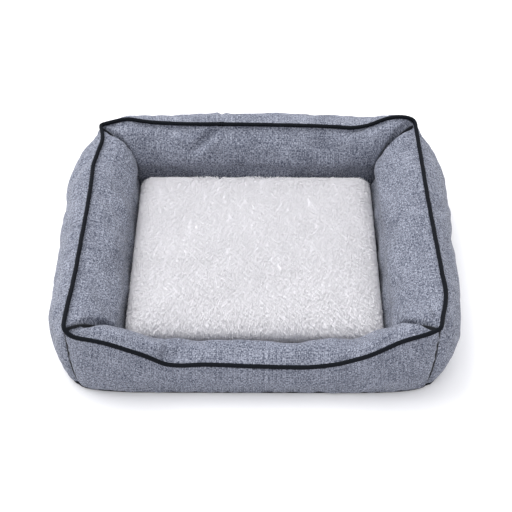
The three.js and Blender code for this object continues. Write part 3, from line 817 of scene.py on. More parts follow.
def wall_panel(wall, side, seed):
    """One panel of a wall, refined from the bag, wrinkled and kept just short of its mitres."""
    bag = bag_grids[wall.name]
    part = bag[:OUTER_ROWS] if side == "outer" else bag[OUTER_ROWS - 1 :].copy()
    if side == "inner":
        # The inner panel's edge is the one on the well's side of the seam.
        part[0] = inner_surface(wall, np.zeros(1), np.linspace(0, 1, bag.shape[1]))[0]
    a, b = along_and_below(wall, part, side)
    rows = round(b.max() / FINE_STEP)
    cols = round(wall.length / FINE_STEP)
    grid = resample(resample(part, rows, 0), cols, 1)
    a, b = along_and_below(wall, grid, side)
    cloth = np.stack([woven_along(grid), b], -1)
    end = np.minimum(a - a[:, :1], a[:, -1:] - a)
    facing = in_mitres(wall, normals(grid), end, a - a[:, :1] <= a[:, -1:] - a)
    grid = grid + facing * wrinkles(wall, side, a, b, seed)[..., None]
    grid[..., 2] = np.maximum(grid[..., 2], WALL_FOOT_Z)
    middle = grid.mean(1, keepdims=True)
    shrink = 1 - 2 * PANEL_GAP / wall.length
    plan_way = np.append(wall.along, 0)
    offset = ((grid - middle) @ plan_way)[..., None] * plan_way
    grid = grid - offset * (1 - shrink)
    return grid, cloth


def in_mitres(wall, facing, end, at_start):
    """Normals that near a wall's ends turn into the plane of the mitre, which both neighbours share, so
    that a valley there doesn't part the seam."""
    for corner, near in ((wall.start, at_start), (wall.end, ~at_start)):
        slant = unit(RIDGE[corner] - WELL[corner])
        across = np.array([slant[1], -slant[0], 0])
        weight = np.exp(-((end / MITRE_TURN) ** 2)) * near
        facing = facing - (weight * (facing @ across))[..., None] * across
    return facing


def area(grid):
    """Area of a grid's faces, from the cross product of their sides."""
    sides = np.cross(np.diff(grid, axis=1)[:-1], np.diff(grid, axis=0)[:, :-1])
    return np.linalg.norm(sides, axis=-1).sum()


# %% Panels
SEAM_ALLOWANCE = 8 * MM

for index, wall in enumerate(WALLS):
    for side in ("outer", "inner"):
        node = f"{side}_panel_{wall.name}"
        grid, cloth = wall_panel(wall, side, 10 * index + (5 if side == "inner" else 0))
        # Each wall's weave starts a metre further on, so that no two look alike.
        uv = corner_uv(cloth + (index, 0))
        mesh = new_mesh(node + "_cloth", grid.reshape(-1, 3), grid_faces(*grid.shape[:2]), uv)
        panel = add_piece(node + "_cloth", mesh, LINEN, "bed", [node])
        thicken(panel, CLOTH_T)
        flat = np.ptp(cloth, axis=(0, 1)) + 2 * SEAM_ALLOWANCE
        # Its ends slant, so the cut cloth is little more than the panel itself.
        cut = min(area(grid) * 1.04, flat.prod())
        print(node, "flat", flat.round(3), "area", round(area(grid), 4))

# %% [markdown]
# ## Corner gussets and painted seam shade
# Each sleeve is closed at its ends by a gusset of the dark bottom cloth, which keeps the
# stuffing in. The inner part of each gusset is raised almost flush with the puffed panels,
# so its dark cloth shows as a line deep in the mitres and corner seams. That line is
# painted shade, standing in for the shadow in the narrow gap between the panels.

# %% Gussets, raised to paint the seam shade
# The inner gussets reach almost to the panels' surface, so their dark cloth shows in the mitres as a
# painted shade line where the gap lies in shadow.
OUTER_GUSSET, INNER_GUSSET = 0.93, 0.98  # of the sleeve's own section
GUSSET_T = 1.4 * MM

for wall in WALLS:
    section = wall_bag(wall)[:, :1]
    centre = section.mean(0)
    reach = INNER_GUSSET + (OUTER_GUSSET - INNER_GUSSET) * (np.arange(len(section)) < OUTER_ROWS)
    grid = centre + (section[:, 0] - centre) * np.linspace(0.03, 1, 9)[:, None, None] * reach[:, None]
    grid[..., 2] = np.maximum(grid[..., 2], WALL_FOOT_Z + 1 * MM)
    rows, cols = grid.shape[:2]
    faces = [grid_faces(rows, cols, wrap_cols=True), np.arange(cols)[None]]
    uv = corner_uv(np.concatenate([grid, grid[:, :1]], 1)[..., [0, 2]])
    mesh = new_mesh("corner_gusset_seam_shade_" + wall.start, grid.reshape(-1, 3), faces, uv)
    gusset = add_piece("corner_gusset_seam_shade_" + wall.start, mesh, OXFORD, "bed")
    thicken(gusset, GUSSET_T, offset=0)

# %% [markdown]
# ## Stuffing
# Polyester fibre fills the sleeves. It never shows, but it is what gives the walls
# their weight and spring, so each wall has its own lump, a little smaller than the bag.

# %% Stuffing of the walls
STUFFING_SCALE = 0.9
STUFFING_INSET = 8 * MM

for index, wall in enumerate(WALLS):
    grid = bag_grids[wall.name][::2, 1:-1:2]
    centre = grid.mean(0, keepdims=True)
    reach = np.linalg.norm(grid - centre, axis=-1, keepdims=True)
    lump = centre + (grid - centre) * np.maximum(STUFFING_SCALE - STUFFING_INSET / reach, 0.2)
    lump = lump + 1.2 * MM * ripples(lump, 40 * MM, 90 + index)[..., None] * unit(centre - lump)
    lump[..., 2] = np.maximum(lump[..., 2], WALL_FOOT_Z + 3 * MM)
    name = "stuffing_" + wall.name
    mesh = new_mesh(name, lump.reshape(-1, 3), bag_faces(*lump.shape[:2]))
    stuffing = add_piece(name, mesh, FIBRE, "bed", ["wall_" + name])

# %% [markdown]
# ## Piping
# A bias strip is folded round a cotton cord and sewn into the ridge seam. It starts and
# ends in a butt join on the back wall, where it is a little thicker. The strip is a tube
# that is open below, where its edges go into the seam, and three twisted strands make
# the cord.

# %% Path and profile of the piping
PIPING_JOIN_X = -60 * MM
PIPING_STEP = 2.4 * MM
PIPING_ROUNDING = 5 * MM
PIPING_WALL = 0.8 * MM
PIPING_OPENING = 0.3  # radians on each side, below
RIB_PITCH, RIB_HEIGHT = 5.5 * MM, 0.12 * MM
JOIN_SWELL, JOIN_LENGTH = 0.9 * MM, 5 * MM
UNEVEN, UNEVEN_LENGTH = 0.15 * MM, 43 * MM


def ridge_path():
    """Middle of the piping all the way round, counter-clockwise from its join, evenly spaced. A running
    mean with a bell-shaped weight rounds the corners."""
    runs = []
    for wall in WALLS:
        t = np.linspace(0, 1, round(wall.length / PIPING_STEP), endpoint=False)
        out, high = ridge_line(wall, t)
        runs.append(np.concatenate([plan(wall, t, out), high[:, None]], -1))
    path = np.concatenate(runs)
    reach = np.arange(-8, 9)
    weights = np.exp(-0.5 * (reach * PIPING_STEP / PIPING_ROUNDING) ** 2)
    path = sum(w * np.roll(path, k, 0) for k, w in zip(reach, weights)) / weights.sum()
    on_back = np.where(path[:, 1] > MID_Y + 0.2, np.abs(path[:, 0] - PIPING_JOIN_X), 1)
    path = np.roll(path, -on_back.argmin(), 0)
    almost_round = path[-1] + 0.9 * (path[0] - path[-1])
    return np.concatenate([path, almost_round[None]])


def piping_profile(distance, total):
    """Open ring of the cover at each distance: an outer and an inner arc. Bias cloth twists as it is
    folded, so faint ribs climb round it, and both ends swell where they are turned in."""
    angle = np.linspace(1.5 * np.pi - PIPING_OPENING, -0.5 * np.pi + PIPING_OPENING, 15)
    ribs = np.sin(2 * np.pi * distance[:, None] / RIB_PITCH + angle) * RIB_HEIGHT
    ends = np.minimum(distance, total - distance)[:, None]
    swell = JOIN_SWELL * np.exp(-((ends / JOIN_LENGTH) ** 2))
    uneven = UNEVEN * np.sin(2 * np.pi * distance[:, None] / UNEVEN_LENGTH) * np.cos(angle)
    outer = PIPING_R - UNEVEN + ribs + swell + uneven
    ways = np.stack([np.cos(angle), np.sin(angle)], -1)
    outside = outer[..., None] * ways
    inside = (outer - PIPING_WALL)[..., None] * ways
    return np.concatenate([outside, inside[:, ::-1]], 1)


# %% Piping cover
path = ridge_path()
steps = np.linalg.norm(np.diff(path, axis=0), axis=-1)
distance = np.concatenate([[0], np.cumsum(steps)])
total = distance[-1]
profile = piping_profile(distance, total)
ring = sweep(path, profile)
rows, cols = ring.shape[:2]
girth = np.linalg.norm(np.diff(profile[0], axis=0, append=profile[0][:1]), axis=-1)
around = np.concatenate([[0], np.cumsum(girth)])
uv = np.stack(np.meshgrid(distance, around, indexing="ij"), -1)
mesh = new_mesh("piping_bias_strip", ring.reshape(-1, 3), tube_faces(rows, cols), corner_uv(uv))
piping = add_piece("piping_bias_strip", mesh, POPLIN, "bed", ["piping_cover"])

# %% Cord inside the piping
STRAND_R = 0.85 * MM
STRAND_AWAY = 0.95 * MM  # from the middle of the cord
STRAND_TURN = 15 * MM
strand_points, strand_faces = [], []
for strand in range(3):
    turn = 2 * np.pi * (distance / STRAND_TURN + strand / 3)
    middle = sweep(path, STRAND_AWAY * np.stack([np.cos(turn), np.sin(turn)], -1)[:, None])[:, 0]
    tube = sweep(middle, circle(STRAND_R, 6))
    tube_parts = tube_faces(*tube.shape[:2])
    strand_faces += [part + strand * tube.shape[0] * tube.shape[1] for part in tube_parts]
    strand_points.append(tube.reshape(-1, 3))
mesh = new_mesh("piping_twisted_cord", np.concatenate(strand_points), strand_faces)
add_piece("piping_twisted_cord", mesh, FIBRE, "bed", ["piping_cord"])
print("piping length", round(total, 3))

# %% [markdown]
# ## Bottom, wadding and floor of the well
# The bottom is a dark oxford weave with small rubber dots that keep the bed from
# sliding. Quilted wadding lies on it, and the well has a floor of the wall's own cloth.
# None of them shows until the cushion is lifted or the bed is turned over.

# %% Bottom cloth
BOTTOM_T = 1 * MM
BOTTOM_TOP = span("base_panel", 2)[1]


def foot_outline(count):
    """Line of the outer base seam, `count` points on each wall."""
    t = np.linspace(0, 1, count, endpoint=False)
    return np.concatenate([outer_surface(wall, np.zeros(1), t)[0] for wall in WALLS])[:, :2]


outline = foot_outline(60)
centre = outline.mean(0)
scale = np.linspace(0.02, 0.998, 40)
plan_grid = centre + (outline - centre) * scale[:, None, None]
wave = 0.15 * MM * ripples(plan_grid, 60 * MM, 7)
grid = np.concatenate([plan_grid, (BOTTOM_TOP - 0.2 * MM + wave)[..., None]], -1)
rows, cols = grid.shape[:2]
faces = [grid_faces(rows, cols, wrap_cols=True)[:, ::-1], np.arange(cols)[None]]
closed = np.concatenate([plan_grid, plan_grid[:, :1]], 1)
uv = corner_uv(closed).reshape(-1, 4, 2)[:, ::-1].reshape(-1, 2)
mesh = new_mesh("bottom_oxford_cloth", grid.reshape(-1, 3), faces, uv)
bottom = add_piece("bottom_oxford_cloth", mesh, OXFORD, "bed", ["base_panel"])
thicken(bottom, BOTTOM_T)

# %% Rubber dots
DOT_PITCH = 15 * MM
DOT_R = 2.2 * MM
DOT_SIDES = 10
DOT_MARGIN = 9 * MM  # kept free along the base seam
DOT_RINGS = [(DOT_R, 1.2 * MM), (DOT_R, 0.7 * MM), (0.8 * DOT_R, 0.25 * MM), (0.4 * DOT_R, 0.02 * MM)]


def dots(outline_points):
    """Low rubber domes on a square grid with every other row shifted, kept inside the bottom's outline. A
    dome is a stack of rings (radius, height) from the cloth down to its flat tip."""
    x, y = np.meshgrid(np.arange(-22, 23) * DOT_PITCH, np.arange(-20, 21) * DOT_PITCH)
    x = x + (np.arange(len(x)) % 2)[:, None] * DOT_PITCH / 2
    places = np.stack([x.ravel(), y.ravel() + centre[1]], -1)
    turn = np.arctan2(*(outline_points - centre).T[::-1])
    order = np.argsort(turn)
    reach = np.linalg.norm(outline_points - centre, axis=-1)[order]
    away = places - centre
    allowed = np.interp(np.arctan2(away[:, 1], away[:, 0]), turn[order], reach, period=2 * np.pi)
    places = places[np.linalg.norm(away, axis=-1) < allowed - DOT_MARGIN]
    angle = np.arange(DOT_SIDES) * 2 * np.pi / DOT_SIDES
    radius, high = np.array(DOT_RINGS).T[..., None]
    rows = [radius * np.cos(angle), radius * np.sin(angle), high + 0 * angle]
    one = np.stack(rows, -1).reshape(-1, 3)
    side = grid_faces(len(DOT_RINGS), DOT_SIDES, wrap_cols=True)[:, ::-1]
    caps = np.stack([np.arange(DOT_SIDES), np.arange(len(one) - DOT_SIDES, len(one))[::-1]])
    offset = np.concatenate([places, np.zeros((len(places), 1))], -1)[:, None]
    shift = (np.arange(len(places)) * len(one))[:, None, None]
    print(len(places), "rubber dots")
    faces = [(side + shift).reshape(-1, 4), (caps + shift).reshape(-1, DOT_SIDES)]
    return (one + offset).reshape(-1, 3), faces


points, faces = dots(outline)
mesh = new_mesh("bottom_rubber_dots", points, faces)
add_piece("bottom_rubber_dots", mesh, RUBBER, "bed")

# %% Quilted wadding
QUILT = 60 * MM
QUILT_LOW, QUILT_PUFF = 0.55, 0.43  # height of the sewn lines and of the diamonds over them


def slab(node, cells, height_at, edge):
    """Closed pad over a node's box: a top grid whose height is given by a function of plan, and a flat
    underside, joined round the edge."""
    (x0, y0, z0), (x1, y1, z1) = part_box(node)
    x, y = np.meshgrid(np.linspace(x0, x1, cells), np.linspace(y0, y1, cells))
    rim = np.minimum(np.minimum(x - x0, x1 - x), np.minimum(y - y0, y1 - y))
    round_off = np.sqrt(np.clip(1 - (1 - np.clip(rim / edge, 0, 1)) ** 2, 0, 1))
    middle = z0 + 0.4 * (z1 - z0)
    top = middle + (height_at(x, y) * (z1 - z0) + z0 - middle) * round_off
    low = middle + (z0 - middle) * round_off
    over = np.stack([x, y, top], -1)
    under = np.stack([x, y, low], -1)[1:-1, 1:-1]
    # The underside shares the top's outermost points, and has its own inside them.
    below = np.arange(cells * cells).reshape(cells, cells)
    below[1:-1, 1:-1] = cells * cells + np.arange((cells - 2) ** 2).reshape(cells - 2, cells - 2)
    faces = [grid_faces(cells, cells), below.ravel()[grid_faces(cells, cells)[:, ::-1]]]
    return np.concatenate([over.reshape(-1, 3), under.reshape(-1, 3)]), faces


def quilting(x, y):
    """Diamond quilting: low along the sewn lines, and up to almost 1 in the middle of each diamond, by the
    product of two sines that run across each other."""
    lines = np.abs(np.sin(np.pi * (x + y) / QUILT) * np.sin(np.pi * (x - y) / QUILT))
    return QUILT_LOW + QUILT_PUFF * lines**0.45


points, faces = slab("base_wadding", 110, quilting, 5 * MM)
mesh = new_mesh("quilted_wadding", points, faces)
wadding = add_piece("quilted_wadding", mesh, FIBRE, "bed", ["base_wadding"])

# %% Floor of the well
(x0, y0, z0), (x1, y1, z1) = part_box("well_floor")
x, y = np.meshgrid(np.linspace(x0, x1, 90), np.linspace(y0, y1, 84))
z = z1 - 0.2 * MM + 0.18 * MM * ripples(np.stack([x, y], -1), 55 * MM, 31)
grid = np.stack([x, y, z], -1)
mesh = new_mesh("well_floor_cloth", grid.reshape(-1, 3), grid_faces(*x.shape), corner_uv(grid[..., :2]))
floor_cloth = add_piece("well_floor_cloth", mesh, LINEN, "bed", ["well_floor"])
thicken(floor_cloth, 0.9 * MM)

# %% [markdown]
# ## Cushion: backing, underside and fill
# The cushion is a boxy pad with rounded corners. Its plan is a rounded rectangle, and
# each height is that rectangle drawn in by some inset, so the pad is a stack of rings.
# The plush is knitted on a backing; the pile comes after.

# %% Cushion shape
CUSHION_LO, CUSHION_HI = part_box("cushion_underside")
CUSHION_HALF = np.array([CUSHION_HI[0], (CUSHION_HI[1] - CUSHION_LO[1]) / 2])
CUSHION_MID = np.array([0.0, (CUSHION_HI[1] + CUSHION_LO[1]) / 2])
CUSHION_Z = CUSHION_LO[2]
SEAM_Z = sum(span("zip_coil", 2)) / 2
CROWN_Z = span("cushion_plush_top", 2)[1]
CUSHION_CORNER_R = 23 * MM
CROWN_INSET = 110 * MM  # where the dome has levelled off
DOME_POWER = 3
DOME_RISE = 6 * MM  # the edge stands upright this far above the seam
PILE_H = 5.5 * MM
EDGE_PILE = 2.5 * MM
BACKING_T = 2 * MM
print("cushion", CUSHION_HALF, "seam", round(SEAM_Z, 4), "crown", CROWN_Z)


def rings(inset, per_corner=14, per_side=44):
    """Rounded rectangles, one for each inset, as (insets, points, 2), counter-clockwise from the right.
    Corners are arcs whose radius shrinks with the inset, and the sides are straight between them."""
    inset = np.asarray(inset, float)[:, None]
    radius = np.maximum(CUSHION_CORNER_R - inset, 0.25 * CUSHION_CORNER_R * np.exp(-inset / 0.05))
    arcs = []
    for corner, (sx, sy) in enumerate([(1, 1), (-1, 1), (-1, -1), (1, -1)]):
        angle = (corner + np.linspace(0, 1, per_corner)) * np.pi / 2
        x = sx * (CUSHION_HALF[0] - inset - radius) + radius * np.cos(angle)
        y = sy * (CUSHION_HALF[1] - inset - radius) + radius * np.sin(angle)
        arcs.append(np.stack([x, y], -1))
    parts = []
    share = np.linspace(0, 1, per_side + 1)[1:-1, None]
    for corner in range(4):
        start, end = arcs[corner][:, -1:], arcs[(corner + 1) % 4][:, :1]
        parts += [arcs[corner], start + (end - start) * share]
    return np.concatenate(parts, 1) + CUSHION_MID


def dome(inset):
    """Share of the top's height for an inset from the edge: (1 - (1 - u)^3)^(1/3), where u is the inset
    over CROWN_INSET. It rises steeply and levels off."""
    u = np.clip(inset / CROWN_INSET, 0, 1)
    return (1 - (1 - u) ** DOME_POWER) ** (1 / DOME_POWER)


def backing_height(inset):
    """Height of the plush backing, which lies under the pile."""
    spring = SEAM_Z + DOME_RISE
    return spring + (CROWN_Z - PILE_H - spring) * dome(inset)


def stack(insets, heights, seed, wobble=0.8 * MM):
    """Rings at their heights, with the slight unevenness of a sewn pad."""
    plan_rings = rings(insets)
    z = np.broadcast_to(np.asarray(heights)[:, None], plan_rings.shape[:2])
    points = np.concatenate([plan_rings, z[..., None]], -1)
    return points + wobble * ripples(points, 70 * MM, seed)[..., None] * normals(points)


# %% Mesh of a pad
def ring_mesh(name, points, close_first, close_last):
    """Mesh of stacked rings, from below upwards, with either end closed by a flat face."""
    rows, cols = points.shape[:2]
    ring = np.arange(cols)
    faces = [grid_faces(rows, cols, wrap_cols=True)]
    if close_first:
        faces.append(ring[::-1][None])
    if close_last:
        faces.append(((rows - 1) * cols + ring)[None])
    along = np.linspace(0, 4 * CUSHION_HALF.sum(), cols + 1)
    arc = np.linalg.norm(np.diff(points[:, 0], axis=0), axis=-1)
    up = np.concatenate([[0], np.cumsum(arc)])
    uv = corner_uv(np.stack(np.meshgrid(along, up), -1))
    return new_mesh(name, points.reshape(-1, 3), faces, uv)


# %% Backing, underside and fill
FLAT_INSET = 165 * MM  # inside this a pad's top and underside are flat

side_up = np.linspace(SEAM_Z + 0.4 * MM, SEAM_Z + DOME_RISE, 6)[:-1]
top_inset = np.linspace(0, 1, 34) ** 1.7 * FLAT_INSET
insets = np.concatenate([np.zeros(5), top_inset]) + EDGE_PILE
heights = np.concatenate([side_up, backing_height(top_inset)])
points = stack(insets, heights, 51, 0.2 * MM)
mesh = ring_mesh("plush_backing", points, False, True)
backing = add_piece("plush_backing", mesh, PLUSH, "cushion", ["cushion_plush_top"])
thicken(backing, BACKING_T)

# The underside is a tray: its floor, a rounded edge and the upright side up to the seam.
tray_inset = np.array([165, 120, 80, 45, 25, 15, 9, 5, 2.5, 1, 0.3, 0, 0, 0]) * MM
tray_high = np.array([0, 0, 0, 0, 0.2, 0.8, 1.8, 3.4, 6, 9.5, 13, 17, 20, 23.4]) * MM
points = stack(tray_inset + 0.6 * MM, CUSHION_Z + 0.9 * MM + tray_high, 52, 0.5 * MM)
mesh = ring_mesh("cushion_underside_cloth", points, True, False)
name = "cushion_underside_cloth"
underside = add_piece(name, mesh, LINEN, "cushion", ["cushion_underside"])
thicken(underside, CLOTH_T)

# The fill keeps a few millimetres clear of both covers, and more above the seam.
fill_inset = np.array([150, 100, 60, 30, 17, 9, 6, 6, 7, 8, 12, 20, 34, 60, 100, 150]) * MM
fill_high = np.array([0, 0, 0, 0.3, 2, 6, 12, 20, 26, 30, 34.5, 38, 41, 44.5, 47.5, 48.5]) * MM
points = stack(fill_inset, CUSHION_Z + 3.2 * MM + fill_high, 53)
mesh = ring_mesh("cushion_fibre_fill", points, True, True)
fill = add_piece("cushion_fibre_fill", mesh, FIBRE, "cushion", ["cushion_fill"])

# %% [markdown]
# ## Cushion: pile
# The plush is a soft white pile 9 to 14 mm long that has been lightly brushed. Single
# hairs are far too fine to show, so each tuft stands for a wisp of some twenty hairs.
# Blender's own hair would do on screen, but it isn't a mesh that can be kept. So a tuft
# is a bent three-sided spike, rooted on the backing, that leans with the nap and
# towards the middle of its own lock. There are a few lots of tufts, so that no piece
# grows too heavy.

# %% Roots of the pile
TUFT_SPACING = 1.45 * MM
PILE_LOTS = 5
SIDE_LEVELS = np.array([2.5, 5, 7.5, 10, 13, 16]) * MM  # over the seam
SIDE_INSETS = np.array([0, 0, 0.1, 0.5, 1.1, 1.9]) * MM
SIDE_JITTER = 0.9 * MM


def inset_of(xy):
    """Distance in from the edge of the backing's rounded rectangle."""
    q = np.abs(xy - CUSHION_MID) - (CUSHION_HALF - EDGE_PILE - CUSHION_CORNER_R)
    outside = np.linalg.norm(np.maximum(q, 0), axis=-1)
    return CUSHION_CORNER_R - outside - np.minimum(q.max(-1), 0)


def surface_at(xy):
    """Points and normals of the backing over plan places, from its height there and half a millimetre to
    the right and to the back."""
    step = 0.5 * MM
    z = backing_height(inset_of(xy))
    dx = (backing_height(inset_of(xy + (step, 0))) - z) / step
    dy = (backing_height(inset_of(xy + (0, step))) - z) / step
    return np.concatenate([xy, z[:, None]], -1), unit(np.stack([-dx, -dy, np.ones(len(z))], -1))


def top_roots(random):
    """Tuft roots on a jittered grid over the top."""
    half = CUSHION_HALF - EDGE_PILE
    x, y = (np.arange(-h, h, TUFT_SPACING) for h in half)
    xy = np.stack(np.meshgrid(x, y), -1).reshape(-1, 2) + CUSHION_MID
    xy = xy + random.uniform(-0.5, 0.5, xy.shape) * TUFT_SPACING
    xy = xy[inset_of(xy) > 0.3 * MM]
    return surface_at(xy)


def side_roots(random):
    """Tuft roots on the upright edge, between the seam and the dome."""
    outline = rings(SIDE_INSETS + EDGE_PILE, 20, 150)
    z = np.broadcast_to(SEAM_Z + SIDE_LEVELS[:, None], outline.shape[:2])
    points = np.concatenate([outline, z[..., None]], -1)
    facing = normals(points)
    points = points.reshape(-1, 3) + random.uniform(-1, 1, (z.size, 3)) * SIDE_JITTER
    return points, facing.reshape(-1, 3)


# %% Nap and locks
NAP_WAY = np.array([0.12, -1.0, 0.0])
EDGE_COMB, EDGE_WIDTH = 0.8, 60 * MM  # the pile is combed outwards along the edges
WANDER, WANDER_LENGTH = 0.17, 75 * MM
SWIRL, SWIRL_LENGTH = 0.08, 28 * MM
LOCK_SIZE = 9 * MM
LOCK_PULL = 0.16
SCATTER = 0.2
SINE_HASH = np.array([[12.9898, 39.346], [78.233, 11.135]])
HASH_SIZE = 43758.5453


def level(xy):
    """Plan vectors with a height of zero."""
    return np.concatenate([xy, np.zeros((len(xy), 1))], -1)


def drift(xy, length, seed):
    """Slow change of direction over the cushion: a smooth noise for each of x and y."""
    return level(np.stack([ripples(xy, length, seed), ripples(xy, length, seed + 1)], -1))


def nap(points, facing, random):
    """Direction in which each tuft lies: the brushed nap runs to the front and outwards at the edges,
    drifts slowly over the cushion and gathers to the middle of each lock. What points out of the backing is
    taken away."""
    xy = points[:, :2]
    edge = 1 - ease(inset_of(xy), 0, EDGE_WIDTH)
    way = NAP_WAY + EDGE_COMB * edge[:, None] * level((xy - CUSHION_MID) / CUSHION_HALF)
    way = way + WANDER * drift(xy, WANDER_LENGTH, 61) + SWIRL * drift(xy, SWIRL_LENGTH, 63)
    pull = level((lock_middles(xy) - xy) / (0.5 * LOCK_SIZE))
    way = unit(way) + LOCK_PULL * pull + SCATTER * random.normal(size=points.shape)
    way -= facing * (way * facing).sum(-1, keepdims=True)
    return unit(way)


def lock_middles(xy):
    """Nearest of the jittered lock middles in a place's own cell and the eight round it. The jitter comes
    from the decimals of a big multiple of a sine of the cell's number, which look random."""
    cell = np.floor(xy / LOCK_SIZE)
    best = np.full(len(xy), 1e9)
    found = np.zeros_like(xy)
    for dx in (-1, 0, 1):
        for dy in (-1, 0, 1):
            near = cell + (dx, dy)
            jitter = np.sin(near @ SINE_HASH) * HASH_SIZE
            middle = (near + 0.5 + 0.8 * (jitter - np.floor(jitter) - 0.5)) * LOCK_SIZE
            away = np.linalg.norm(middle - xy, axis=-1)
            closer = away < best
            best = np.where(closer, away, best)
            found = np.where(closer[:, None], middle, found)
    return found


# %% Tufts
TUFT_LENGTH = 12 * MM
TUFT_WIDTH = 0.75 * MM
TUFT_SINK = 0.8 * MM  # how deep the root stands in the backing
TUFT_FLATS = (0.62, 0.9)  # how flat each half lies
TUFT_SIZES = (0.8, 1.0)  # width at the root and at half the length
PILE_SLACK = 0.8 * MM
SIDE_LIE, SIDE_DROP = 0.4, np.array([0, 0, -0.9])


def tufts(points, facing, lie, random):
    """Bent spikes: rings of three points at the root and at half the length, and a tip. The first half
    rises from the backing and the second lies almost flat."""
    count = len(points)
    length = TUFT_LENGTH * random.uniform(0.75, 1.2, (count, 1))
    width = TUFT_WIDTH * random.uniform(0.7, 1.25, (count, 1))
    lift = random.uniform(-0.07, 0.07, (count, 1))
    middle = [points - facing * TUFT_SINK]
    ways = []
    for flat in TUFT_FLATS:
        ways.append(unit(facing * (1 - flat + lift) + lie * flat))
        middle.append(middle[-1] + ways[-1] * length / 2)
    side = unit(np.cross(facing, lie))
    made = []
    for centre_line, way, size in zip(middle[:2], ways, TUFT_SIZES):
        up = np.cross(way, side)
        for turn in (-math.pi / 2, math.pi / 6, math.pi * 5 / 6):
            made.append(centre_line + width * size / 2 * (side * math.cos(turn) + up * math.sin(turn)))
    made.append(middle[2])
    one = np.stack(made, 1)
    sides = grid_faces(2, 3, wrap_cols=True)
    tips = np.array([[0, 2, 1], [3, 4, 6], [4, 5, 6], [5, 3, 6]])
    shift = (np.arange(count) * len(made))[:, None, None]
    return one.reshape(-1, 3), [(sides + shift).reshape(-1, 4), (tips + shift).reshape(-1, 3)]


# %% Pile
random = np.random.default_rng(2024)
points, facing = top_roots(random)
order = random.permutation(len(points))
lots = [(points[part], facing[part]) for part in np.array_split(order, PILE_LOTS)]
lots.append(side_roots(random))
low = np.array([*(CUSHION_MID - CUSHION_HALF), 0]) - PILE_SLACK
high = np.array([*(CUSHION_MID + CUSHION_HALF), 1]) + PILE_SLACK
for index, (roots, facing) in enumerate(lots):
    lie = nap(roots, facing, random)
    if index == PILE_LOTS:
        # On the upright edge the pile hangs down over the seam.
        lie = unit(lie * SIDE_LIE + SIDE_DROP)
    tuft_points, faces = tufts(roots, facing, lie, random)
    tuft_points = np.clip(tuft_points, low, high)
    mesh = new_mesh(f"plush_pile_{index + 1}", tuft_points, faces)
    add_piece(f"plush_pile_{index + 1}", mesh, PLUSH, "cushion")

# %% [markdown]
# ## Zip
# A nylon coil zip closes the back edge of the cushion. The two tapes, the stops and the
# slider already have their real shapes in the frame and only get their finishes. The
# coil is two rows of nylon loops, and the slider's pull is a bent wire loop.

# %% Zip
for node, material in [
    ("zip_tape_upper", TAPE),
    ("zip_tape_lower", TAPE),
    ("zip_stop_left", ZINC),
    ("zip_stop_right", ZINC),
    ("zip_slider", ZINC),
]:
    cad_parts[node].material_slots[0].material = material

# %% Coil and pull of the zip
COIL_PITCH = 1.5 * MM
COIL_WIRE_R = 0.3 * MM
COIL_SIDES = 10  # points to a turn
COIL_MESH = 0.2 * MM  # how far the two rows reach into each other
PULL_POINTS = 72


def coil_rows():
    """Two helices side by side along the zip, wound opposite ways, each an ellipse in section."""
    (x0, y0, z0), (x1, y1, z1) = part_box("zip_coil")
    turns = round((x1 - x0) / COIL_PITCH)
    turn = np.linspace(0, 2 * np.pi * turns, COIL_SIDES * turns + 1)
    x = np.linspace(x0, x1, len(turn))
    deep, wide = (y1 - y0) / 2 - COIL_WIRE_R, (z1 - z0) / 4 - COIL_WIRE_R + COIL_MESH
    made = []
    for side in (-1, 1):
        z = (z0 + z1) / 2 + side * ((z1 - z0) / 4 - COIL_MESH) + wide * np.cos(turn)
        y = (y0 + y1) / 2 + deep * np.sin(turn)
        made.append(np.stack([x + (side > 0) * COIL_PITCH / 4, y, z], -1))
    return made


points, faces = [], []
for row, helix in enumerate(coil_rows()):
    wire = sweep(helix, circle(COIL_WIRE_R, 5), upward=(1.0, 0.0, 0.0))
    faces += [part + row * wire.shape[0] * wire.shape[1] for part in tube_faces(*wire.shape[:2])]
    points.append(wire.reshape(-1, 3))
mesh = new_mesh("zip_nylon_coil", np.concatenate(points), faces)
add_piece("zip_nylon_coil", mesh, NYLON, "cushion", ["zip_coil"])

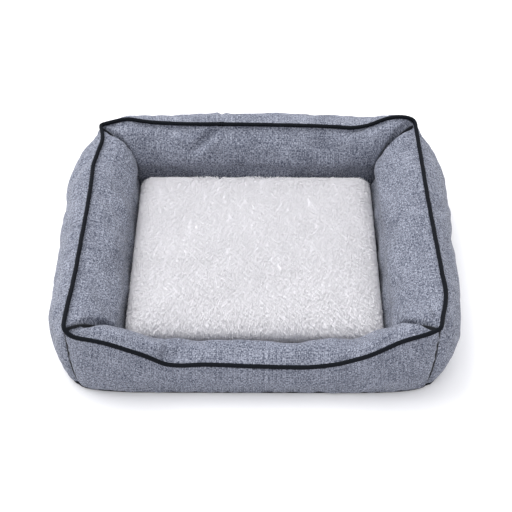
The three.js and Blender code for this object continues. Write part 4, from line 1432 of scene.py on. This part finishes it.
(x0, y0, z0), (x1, y1, z1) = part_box("zip_pull")
wire_r = (y1 - y0) / 2
angle = np.linspace(0, 2 * np.pi, PULL_POINTS, endpoint=False)
half_l, half_w = (x1 - x0) / 2 - wire_r, (z1 - z0) / 2 - wire_r
straight = half_l - half_w
x = (x0 + x1) / 2 + straight * np.sign(np.cos(angle)) + half_w * np.cos(angle)
z = (z0 + z1) / 2 + half_w * np.sin(angle)
loop = np.stack([x, np.full(PULL_POINTS, (y0 + y1) / 2), z], -1)
wire = sweep(loop, circle(wire_r, 10), upward=(0.0, 1.0, 0.0), closed=True)
mesh = new_mesh("zip_pull_loop", wire.reshape(-1, 3), grid_faces(*wire.shape[:2], True, True))
add_piece("zip_pull_loop", mesh, ZINC, "zip_slider", ["zip_pull"])

# %% [markdown]
# ## Studio
# The bed stands on a plain white board under soft light from all round. A large lamp
# high on the left and a little behind lights the left wall and the cushion most, and a
# weaker one overhead keeps the inner walls from going dull. Small lamps would throw
# hard shadows, which soft cloth in a light tent doesn't have.

# %% Floor and light
BOARD_HALF = 40
WORLD_STRENGTH = 0.9
BED_MIDDLE = np.array([0, 0, 0.1])

board = bpy.data.meshes.new("board")
corners = [(x * BOARD_HALF, y * BOARD_HALF, 0) for x, y in ((-1, -1), (1, -1), (1, 1), (-1, 1))]
board.from_pydata(corners, [], [(0, 1, 2, 3)])
board_object = bpy.data.objects.new("board", board)
bpy.context.collection.objects.link(board_object)
glow = {"Emission_Color": (1.0, 1.0, 1.0, 1.0), "Emission_Strength": 0.08}
WHITE_BOARD = mottled_material("white_light_table", "#f6f6f7", "#f8f8f9", 0.4, 0.0, 0.9, **glow)
board.materials.append(WHITE_BOARD)
board_object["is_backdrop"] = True

world = bpy.data.worlds.new("studio")
world.use_nodes = True
sky = world.node_tree.nodes["Background"]
sky.inputs["Color"].default_value = linear("#fcfcff")
sky.inputs["Strength"].default_value = WORLD_STRENGTH
bpy.context.scene.world = world


def soft_lamp(name, place, size, energy):
    """Round area lamp that looks at the middle of the bed."""
    data = bpy.data.lights.new(name, "AREA")
    data.shape = "DISK"
    data.size = size
    data.energy = energy
    lamp = bpy.data.objects.new(name, data)
    lamp.location = place
    x, y, z = BED_MIDDLE - np.array(place)
    lamp.rotation_euler = (math.atan2(math.hypot(x, y), -z), 0, math.atan2(-x, y))
    bpy.context.collection.objects.link(lamp)


soft_lamp("key", place=(-1.7, 0.9, 2.9), size=3.2, energy=85)
soft_lamp("overhead", place=(0.1, 0.6, 2.8), size=3.5, energy=34)
bpy.context.scene.view_settings.view_transform = "Standard"

# %% [markdown]
# ## Finish
# The box that the finished bed fills is worked out from its shown pieces.

# %% Sizes and finish
low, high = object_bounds()
